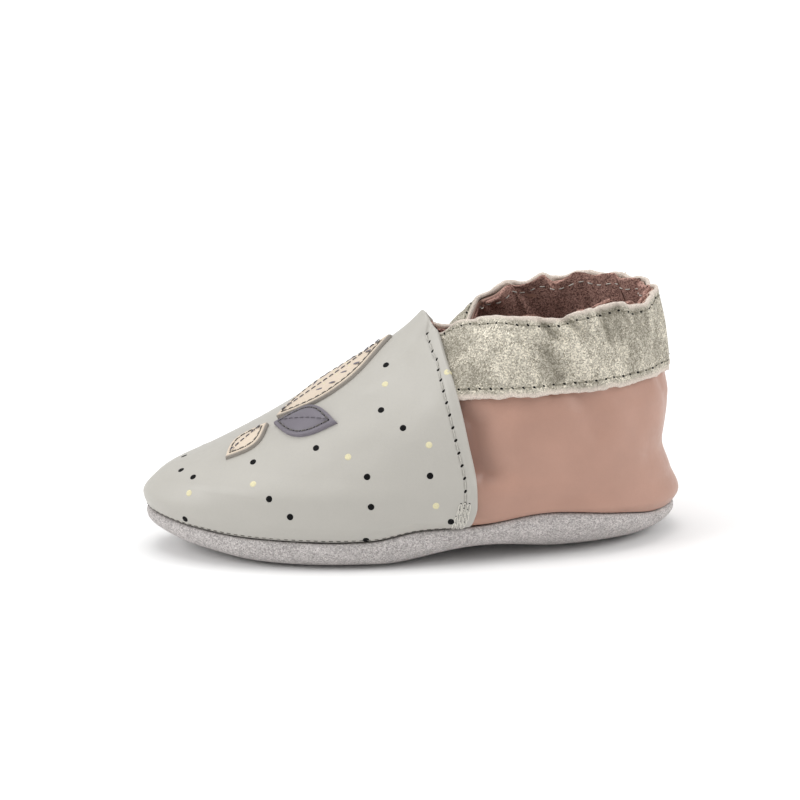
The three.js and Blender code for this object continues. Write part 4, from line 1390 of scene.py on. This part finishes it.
def bar_tacks(settings, face, finish):
    """The bar-tack at the foot of each edge: three columns of chained loops, each loop a closed thread."""
    turn = np.linspace(0, 2 * np.pi, 16, endpoint=False)
    paths, normals, foots = [], [], []
    for side in (-1, 1):
        for column in range(BAR_COLUMNS):
            rise = np.linspace(*BAR_RISES, BAR_LINKS) + BAR_STAGGER * (column % 2)
            inset = BAR_INSET + BAR_SPACING * column
            angle = side * (edge_angle(rise) - inset / edge_speed(rise))
            along = np.cos(turn) * LINK_REACH
            across = np.sin(turn) * (LINK_BREADTH + 0.08 * MM * np.cos(turn))
            a, r = nearby(face, angle[:, None], rise[:, None], along, across)
            point, normal = facing(face, a, np.maximum(r, 0.004))
            paths.append(point + normal * settings.radius * 0.7)
            normals.append(normal)
            foots.append(nearby(face, angle[:, None], rise[:, None], along[:1] * 1.05, across[:1]))
    paths, normals = np.concatenate(paths), np.concatenate(normals)
    dressed(tubes("bar_tacks", paths, normals, settings.radius * 0.8, 5, closed=True), "vamp_leather", finish)
    angle, rise = (np.concatenate(part)[:, 0] for part in zip(*foots))
    # The bar-tack's holes are dark spots of painted shade.
    holes = spots("bar_tack_holes", face, angle, rise, BAR_HOLE * HOLE_STRETCH, BAR_HOLE, 0.0, HOLE_LIFT)
    dressed(holes, "vamp_leather", ink_and_hole_shade("bar tack hole", settings.hole))


def cuff_stitches(settings, cuff, upper):
    """Stitches near both edges of the cuff, and those of the topline as the lining shows them."""
    place = np.linspace(-CUFF_SEWN_END, CUFF_SEWN_END, 900)

    def outer(angle, rise):
        return cuff_skin(angle, rise, cuff)

    paths = [(cuff_angle(place, rise), np.full(len(place), rise)) for rise in CUFF_SEWN]
    lines = [sewn(outer, *path, settings.cuff_pitch, settings.radius, 0.6) for path in paths]
    # The needle holes are dark spots of painted shade.
    gold, hole = twisted_thread("cuff thread", settings.gold), ink_and_hole_shade("cuff needle hole", settings.hole)
    stitch_line("cuff_stitches", lines, settings.radius * 0.8, "cuff_suede", gold)
    turn = math.pi / 2
    holes_at("cuff_needle_holes", outer, lines, CUFF_HOLE, "cuff_suede", hole, turn, CUFF_HOLE_STRETCH)

    def inner(angle, rise):
        return upper_face(angle, rise, -UPPER_WALL - lining_relief(wrapped(angle), rise, upper.wrinkle))

    line = sewn_inside(inner, *paths[-1], settings.cuff_pitch, settings.radius)
    pale = twisted_thread("lining thread", scaled(settings.pale, 1.2))
    stitch_line("lining_stitches", [line], settings.radius * 0.9, "lining_suede", pale)


def sewn_inside(face, angle, rise, pitch, radius):
    """A line of threads on the inner side of a face, which stand off against the face's normal."""
    paths, normals, *_ = sewn(face, angle, rise, pitch, radius, 0.55)
    return paths - normals * (2 * radius * THREAD_HEIGHTS[:, None]), -normals


def cuff_skin(angle, rise, settings):
    """The cuff's outer face over plain angle and rise, without the wander of its edges."""
    edge = np.minimum(rise - CUFF_RISE, CUFF_TOP - rise) * RISE_LENGTH
    flare, pressed = cuff_relief((rise - CUFF_RISE) * RISE_LENGTH, edge, settings)
    return upper_face(angle, rise, CLEARANCE + CUFF_WALL + flare - pressed)


def seam_stitches(settings):
    """The dark thread of the sole seam, deep in the groove between the sole's rim and the vamp's foot."""
    end = float(edge_angle(0.01))
    angle = np.linspace(-end, end, 1400)

    def face(angle, rise):
        return vamp_face(angle, rise, VAMP_WALL - 0.1 * MM)

    line = sewn(face, angle, np.full(len(angle), SEAM_RISE), SEAM_PITCH, SEAM_STAND, 0.6)
    dark = twisted_thread("seam thread", settings.dark)
    stitch_line("seam_stitches", [line], SEAM_RADIUS, "sole_suede", dark)


# Dots


def camera_frame():
    """The camera's place and its right, up and forward directions."""
    a, e, r = CAMERA_YAW, CAMERA_ELEVATION, CAMERA_ROLL
    forward = np.array([math.sin(a) * math.cos(e), math.cos(a) * math.cos(e), -math.sin(e)])
    level = np.array([math.cos(a), -math.sin(a), 0])
    raised = np.cross(level, forward)
    right = math.cos(r) * level + math.sin(r) * raised
    up = math.cos(r) * raised - math.sin(r) * level
    aside = (ORIGIN_PIXEL[0] - IMAGE / 2) / PIXELS_PER_MM * MM
    below = (ORIGIN_PIXEL[1] - IMAGE / 2) / PIXELS_PER_MM * MM
    return -forward * CAMERA_DISTANCE - right * aside + up * below, right, up, forward


def sight_lines(pixels):
    """Starts and directions of the lines from the camera through pixels of the picture."""
    place, right, up, forward = camera_frame()
    pixels = np.array(pixels, float) - IMAGE / 2
    focal = PIXELS_PER_MM / MM * CAMERA_DISTANCE
    directions = unit(forward * focal + pixels[:, :1] * right - pixels[:, 1:] * up)
    return np.broadcast_to(place, directions.shape), directions


def make_dots(settings):
    """The printed dots: outer ones where the camera's sight lines land, inner ones from their table."""

    def face(angle, rise):
        return vamp_top(angle, rise, settings)

    for name, pixels, inner, ink in (
        ("dark_dots", DARK_DOTS, INNER_DARK_DOTS, settings.dark_ink),
        ("pale_dots", PALE_DOTS, INNER_PALE_DOTS, settings.pale_ink),
    ):
        angle, rise = land(face, *sight_lines(pixels))
        share, inner_rise = np.array(inner).T
        angle = np.concatenate([angle, share * edge_angle(inner_rise)])
        rise = np.concatenate([rise, inner_rise])
        obj = spots(name, face, angle, rise, settings.dot_radius, settings.dot_radius, 0.0, 0.04 * MM)
        dressed(obj, "vamp_leather", ink_and_hole_shade(name.replace("_", " "), ink))


# Leaves

LEAF_BOTTOM = VAMP_WALL + 0.04 * MM
LEAF_TOP = VAMP_WALL + LEAF_WALL
LEAF_SEWN_BELOW = 0.12 * MM
LEAF_TIP = 0.003
LEAF_SWELL = 1.1

# How far inside a leaf's outline it is sewn, depth and width of the groove there, the radius to which its
# edge is worn, how far in its dome is full, and the pitches of that line and of the one down its middle.
LEAF_INSET = 1.05 * MM
LEAF_GROOVE = 0.14 * MM
LEAF_GROOVE_WIDTH = 0.35 * MM
LEAF_EDGE_RADIUS = 0.4 * MM
LEAF_DOME_INSET = 3.4 * MM
LEAF_PITCH = 1.9 * MM
RIB_PITCH = 1.7 * MM

# Printed marks of the long leaf, each at a share of its length and of its half width, and their turn from
# its middle line outwards.
SEED_MARKS = [
    (0.36, 0.46), (0.36, -0.44), (0.46, 0.60), (0.46, -0.60), (0.57, 0.44), (0.57, -0.44), (0.68, 0.58),
    (0.68, -0.56), (0.80, 0.40), (0.80, -0.40),
]
BRIGHT_MARKS = [
    (0.41, 0.25), (0.41, -0.25), (0.52, 0.24), (0.52, -0.24), (0.63, 0.25), (0.63, -0.25), (0.74, 0.22),
]
MARK_TURN = 0.7


def leaf_half(leaf, t, margin=0.0):
    """Half of a leaf's width at a share of its length: a sine, bent so that it peaks at the bulge."""
    bend = math.log(0.5) / math.log(leaf["bulge"])
    return np.sin(np.pi * np.clip(t, 0, 1) ** bend) ** LEAF_SWELL * (leaf["width"] * MM / 2 + margin)


def leaf_foot(leaf):
    """Where a leaf's foot lies in the sloping plane on which the leaves were laid out."""
    front = LENGTH * RINGS["front"]
    x = leaf["x"] * MM
    ridge = np.interp(x, front, INSTEP_HEIGHT * RINGS["low"])
    return x * math.cos(LEAF_SLOPE) + ridge * math.sin(LEAF_SLOPE), leaf["y"] * MM


def leaf_plane(leaf, x, y):
    """A place on a leaf, given along and across it, in the sloping plane."""
    p, q = leaf_foot(leaf)
    c, s = math.cos(math.radians(leaf["turn"])), math.sin(math.radians(leaf["turn"]))
    return p + c * x - s * y, q + s * x + c * y


def leaf_covers(leaf, p, q, margin):
    """Whether a leaf, grown by a margin, lies over a place of the plane."""
    foot_p, foot_q = leaf_foot(leaf)
    c, s = math.cos(math.radians(leaf["turn"])), math.sin(math.radians(leaf["turn"]))
    x, y = c * (p - foot_p) + s * (q - foot_q), c * (q - foot_q) - s * (p - foot_p)
    t = (x + margin) / (leaf["length"] * MM + 2 * margin)
    return (t > 0) & (t < 1) & (np.abs(y) < leaf_half(leaf, t, margin))


def later_leaves(name):
    """The leaves that lie over this one: those after it in the table."""
    names = list(LEAVES)
    return [LEAVES[other] for other in names[names.index(name) + 1 :]]


def leaf_room(name, t):
    """Where a leaf starts across its width, from -1 to 1, beside the later leaves over its lower side."""
    leaf = LEAVES[name]
    share = np.linspace(-1, 1, 241)
    grid_t, grid_share = np.meshgrid(t, share, indexing="ij")
    place = leaf_plane(leaf, grid_t * leaf["length"] * MM, grid_share * leaf_half(leaf, grid_t))
    covered = np.zeros(grid_t.shape, bool)
    for other in later_leaves(name):
        covered |= leaf_covers(other, *place, CLEARANCE)
    return np.where(covered, grid_share, -1).max(axis=1)


def leaf_landing(leaf, x, y):
    """Angle and rise of the vamp below places on a leaf, straight down across the sloping plane."""
    p, q = leaf_plane(leaf, x.ravel(), y.ravel())
    starts = np.stack([p * math.cos(LEAF_SLOPE) - LENGTH / 2, q, p * math.sin(LEAF_SLOPE)], axis=-1)
    down = np.array([math.sin(LEAF_SLOPE), 0, -math.cos(LEAF_SLOPE)])

    def face(angle, rise):
        return vamp_face(angle, rise, LEAF_TOP)

    angle, rise = land(face, starts, np.broadcast_to(down, starts.shape))
    return angle.reshape(x.shape), rise.reshape(x.shape)


def leaf_grain(settings, edge):
    """Height of a leaf's outer face over its bottom: worn at the edge, pressed at the stitches, domed."""
    wall = (LEAF_TOP - LEAF_BOTTOM) * (0.02 + 0.98 * rounded(edge, LEAF_EDGE_RADIUS))
    pressed = LEAF_GROOVE * bell(edge, LEAF_INSET, LEAF_GROOVE_WIDTH)
    return wall - pressed + settings.dome * ramp(LEAF_INSET, LEAF_DOME_INSET, edge)


def make_leaf(name, settings, finish, slot):
    """One leaf: a closed sheet over the vamp that fills its outline, cut away beside later leaves."""
    leaf = LEAVES[name]
    long = leaf["length"] * MM
    t = (1 - np.cos(np.linspace(0, np.pi, 130))) / 2 * 0.6 + np.linspace(0, 1, 130) * 0.4
    shown = t[leaf_room(name, t) < 0.95]
    t = mix(max(shown[0], LEAF_TIP), min(shown[-1], 1 - LEAF_TIP), t)
    low = leaf_room(name, t)[:, None]
    across = np.sin(np.linspace(-1, 1, 55) * np.pi / 2)
    share = low + (1 - low) * (across + 1) / 2
    half = leaf_half(leaf, t)[:, None]
    lean = np.cos(np.arctan(np.gradient(half[:, 0], t * long)))[:, None]
    edge = np.minimum(share - low, 1 - share) * half * lean
    angle, rise = leaf_landing(leaf, t[:, None] * long + 0 * share, share * half)
    outer = vamp_face(angle, rise, LEAF_BOTTOM + leaf_grain(settings, edge))
    inner = vamp_face(angle, rise, LEAF_BOTTOM)
    obj = shell("sewn_" + name, outer, inner, attributes={"cut": (edge / MM, edge * 0)})
    return dressed(obj, slot, finish, name)


def leaf_paths(name, inset):
    """Lines along a leaf for its stitches: one inside each side of its outline and one down its middle."""
    leaf = LEAVES[name]
    long = leaf["length"] * MM
    t = np.linspace(0.02, 0.98, 400)
    half = leaf_half(leaf, t)
    lean = np.cos(np.arctan(np.gradient(half, t * long)))
    wide = half * lean > inset * 1.05
    paths = []
    for side in (-1, 1, 0):
        y = side * (half - inset / lean)
        x = t * long
        free = wide.copy()
        for other in later_leaves(name):
            free &= ~leaf_covers(other, *leaf_plane(leaf, x, y), CLEARANCE + inset * 0.8)
        free &= wide
        start = np.flatnonzero(~free & (t < t[free].mean()))[-1] + 1
        run = np.flatnonzero(free & (np.arange(len(t)) >= start))
        paths.append(leaf_landing(leaf, x[run], y[run]))
    return paths


def heading(face, angle, rise, ahead_angle, ahead_rise):
    """The turn, from up the rise, of the direction from places on a face to places ahead of them."""
    away = face(ahead_angle, ahead_rise) - face(angle, rise)
    *_, up, side = slopes(face, angle, rise)
    return np.arctan2((away * side).sum(-1), (away * up).sum(-1))


def leaf_marks(name, face, rows, reach, breadth, colour):
    """Printed marks on the long leaf, from rows of shares of its length and of its half width."""
    leaf = LEAVES["leaf_long"]
    t, share = np.array(rows).T
    x, y = t * leaf["length"] * MM, share * leaf_half(leaf, t)
    angle, rise = leaf_landing(leaf, x, y)
    ahead = leaf_landing(leaf, x + np.cos(MARK_TURN) * MM, y + np.sign(share) * np.sin(MARK_TURN) * MM)
    obj = spots(name, face, angle, rise, reach, breadth, heading(face, angle, rise, *ahead))
    dressed(obj, "leaf_cream", ink_and_hole_shade(name.replace("_", " "), colour))


def make_leaves(settings, vamp, thread):
    """The three leaves, their stitches and needle holes, and the printed marks of the long one."""
    cream = smooth_leather("cream leather", settings.cream, settings.cut, 0.5, 0.012 * MM, 0.03)
    slate = smooth_leather("slate leather", settings.slate, scaled(settings.slate, 1.5), 0.5, 0.02 * MM, 0.08)
    finishes = {
        "leaf_long": (cream, "leaf_cream"),
        "leaf_dark": (slate, "leaf_slate"),
        "leaf_side": (cream, "leaf_cream"),
    }

    def face(angle, rise):
        return vamp_face(angle, rise, LEAF_TOP - LEAF_SEWN_BELOW)

    def domed(angle, rise):
        return vamp_face(angle, rise, LEAF_TOP + settings.dome)

    lines, rib = [], []
    for name, (finish, slot) in finishes.items():
        make_leaf(name, settings, finish, slot)
        *sides, middle = leaf_paths(name, LEAF_INSET)
        lines += [sewn(face, *path, LEAF_PITCH, thread.radius * 0.9) for path in sides]
        rib.append(sewn(domed, *middle, RIB_PITCH, thread.radius * 0.9, 0.8))
    radius = thread.radius * 0.85
    stitch_line("leaf_stitches", lines, radius, "leaf_cream", twisted_thread("leaf thread", thread.dark))
    # The needle holes are dark spots of painted shade.
    hole = ink_and_hole_shade("leaf needle hole", thread.hole)
    holes_at("leaf_needle_holes", face, lines, LEAF_HOLE, "leaf_cream", hole)
    dark = twisted_thread("rib thread", scaled(settings.slate, 0.9))
    stitch_line("leaf_ribs", rib, radius, "leaf_cream", dark)
    leaf_marks("seed_marks", domed, SEED_MARKS, 1.0 * MM, 0.34 * MM, settings.slate)
    leaf_marks("bright_marks", domed, BRIGHT_MARKS, 0.42 * MM, 0.3 * MM, vamp.pale_ink)


# Studio


LIGHT_TARGET = (0, 0, 0.02)
FLOOR_HALF = 4.0


def soft_light(name, place, size, power):
    """A round white lamp, as wide as its size, that faces the shoe."""
    light = bpy.data.lights.new(name, "AREA")
    light.shape, light.size, light.energy = "DISK", size, power
    obj = bpy.data.objects.new(name, light)
    obj.location = place
    obj.rotation_mode = "QUATERNION"
    obj.rotation_quaternion = (Vector(LIGHT_TARGET) - Vector(place)).to_track_quat("-Z", "Y")
    bpy.context.scene.collection.objects.link(obj)


def make_camera():
    """The camera, at its place and with the lens that gives the picture its scale."""
    place, right, up, forward = camera_frame()
    data = bpy.data.cameras.new("camera")
    data.sensor_width = SENSOR
    data.lens = PIXELS_PER_MM / MM * CAMERA_DISTANCE * SENSOR / IMAGE
    data.clip_start, data.clip_end = 0.05, 20
    obj = bpy.data.objects.new("camera", data)
    turned = Matrix([right, up, -forward]).transposed().to_4x4()
    obj.matrix_world = Matrix.Translation(place) @ turned
    bpy.context.scene.collection.objects.link(obj)
    bpy.context.scene.camera = obj


def make_studio(settings):
    """Camera, pale floor, white surroundings and three soft lights."""
    scene = bpy.context.scene
    scene.view_settings.view_transform = "Standard"
    make_camera()
    corners = [(x * FLOOR_HALF, y * FLOOR_HALF, 0) for x, y in ((-1, -1), (1, -1), (1, 1), (-1, 1))]
    mesh = bpy.data.meshes.new("floor")
    mesh.from_pydata(corners, [], [(0, 1, 2, 3)])
    floor = bpy.data.objects.new("floor", mesh)
    scene.collection.objects.link(floor)
    finish = Finish("paper", {"Base Color": settings.floor, "Roughness": 0.6, "Specular IOR Level": 0.2})
    mesh.materials.append(finish.wear(normal=finish.bump(finish.noise(1.5 * MM), 0.01 * MM)))
    world = bpy.data.worlds.new("surroundings")
    world.use_nodes = True
    background = world.node_tree.nodes["Background"]
    background.inputs["Color"].default_value = (1, 1, 1, 1)
    background.inputs["Strength"].default_value = settings.sky
    scene.world = world
    soft_light("left", (-2.6, -0.5, 1.7), 1.8, settings.left_power)
    soft_light("right", (2.6, -0.6, 1.7), 1.8, settings.right_power)
    soft_light("top", (-0.2, 0.3, 2.6), 2.0, settings.top_power)


# Operators


class SLIPPER_OT_studio(bpy.types.Operator):
    """Make the camera, the floor, the surroundings and the lights"""

    bl_idname = "slipper.studio"
    bl_label = "Studio"

    def execute(self, context):
        make_studio(context.scene.slipper_studio)
        return {"FINISHED"}


class SLIPPER_OT_soles(bpy.types.Operator):
    """Make the suede outsole and insole"""

    bl_idname = "slipper.soles"
    bl_label = "Soles"

    def execute(self, context):
        make_outsole(context.scene.slipper_sole)
        make_insole(context.scene.slipper_sole)
        return {"FINISHED"}


class SLIPPER_OT_upper(bpy.types.Operator):
    """Make the quarter's leather and the collar's suede lining"""

    bl_idname = "slipper.upper"
    bl_label = "Upper"

    def execute(self, context):
        make_quarter(context.scene.slipper_upper)
        make_lining(context.scene.slipper_upper)
        return {"FINISHED"}


class SLIPPER_OT_vamp(bpy.types.Operator):
    """Make the vamp's leather and its printed dots"""

    bl_idname = "slipper.vamp"
    bl_label = "Vamp"

    def execute(self, context):
        make_vamp(context.scene.slipper_vamp)
        make_dots(context.scene.slipper_vamp)
        return {"FINISHED"}


class SLIPPER_OT_cuff(bpy.types.Operator):
    """Make the gathered cuff of gold suede"""

    bl_idname = "slipper.cuff"
    bl_label = "Cuff"

    def execute(self, context):
        make_cuff(context.scene.slipper_cuff)
        return {"FINISHED"}


class SLIPPER_OT_leaves(bpy.types.Operator):
    """Make the sewn-on leaves with their stitches and marks"""

    bl_idname = "slipper.leaves"
    bl_label = "Leaves"

    def execute(self, context):
        make_leaves(context.scene.slipper_leaves, context.scene.slipper_vamp, context.scene.slipper_thread)
        return {"FINISHED"}


class SLIPPER_OT_stitches(bpy.types.Operator):
    """Sew the vamp, the cuff and the sole seam"""

    bl_idname = "slipper.stitches"
    bl_label = "Stitches"

    def execute(self, context):
        scene = context.scene
        vamp_stitches(scene.slipper_thread, scene.slipper_vamp)
        cuff_stitches(scene.slipper_thread, scene.slipper_cuff, scene.slipper_upper)
        seam_stitches(scene.slipper_thread)
        return {"FINISHED"}


class SLIPPER_PT_panel(bpy.types.Panel):
    """The slipper's steps and settings"""

    bl_label = "Slipper"
    bl_idname = "SLIPPER_PT_panel"
    bl_space_type = "VIEW_3D"
    bl_region_type = "UI"
    bl_category = "Slipper"

    def draw(self, context):
        for operator, group in STEPS:
            box = self.layout.box()
            box.operator(operator.bl_idname)
            settings = getattr(context.scene, group)
            for name in settings.bl_rna.properties.keys():
                if name not in ("rna_type", "name"):
                    box.prop(settings, name)


GROUPS = {
    "slipper_studio": SlipperStudio,
    "slipper_sole": SlipperSole,
    "slipper_upper": SlipperUpper,
    "slipper_vamp": SlipperVamp,
    "slipper_cuff": SlipperCuff,
    "slipper_leaves": SlipperLeaves,
    "slipper_thread": SlipperThread,
}

STEPS = [
    (SLIPPER_OT_studio, "slipper_studio"),
    (SLIPPER_OT_soles, "slipper_sole"),
    (SLIPPER_OT_upper, "slipper_upper"),
    (SLIPPER_OT_vamp, "slipper_vamp"),
    (SLIPPER_OT_cuff, "slipper_cuff"),
    (SLIPPER_OT_leaves, "slipper_leaves"),
    (SLIPPER_OT_stitches, "slipper_thread"),
]


def register():
    for name, group in GROUPS.items():
        bpy.utils.register_class(group)
        setattr(bpy.types.Scene, name, PointerProperty(type=group))
    for operator, _ in STEPS:
        bpy.utils.register_class(operator)
    bpy.utils.register_class(SLIPPER_PT_panel)


def unregister():
    bpy.utils.unregister_class(SLIPPER_PT_panel)
    for operator, _ in reversed(STEPS):
        bpy.utils.unregister_class(operator)
    for name, group in reversed(GROUPS.items()):
        delattr(bpy.types.Scene, name)
        bpy.utils.unregister_class(group)


def main():
    """Registers the add-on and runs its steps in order."""
    register()
    bpy.ops.slipper.studio()
    bpy.ops.slipper.soles()
    bpy.ops.slipper.upper()
    bpy.ops.slipper.vamp()
    bpy.ops.slipper.cuff()
    bpy.ops.slipper.leaves()
    bpy.ops.slipper.stitches()


if __name__ == "__main__":
    main()
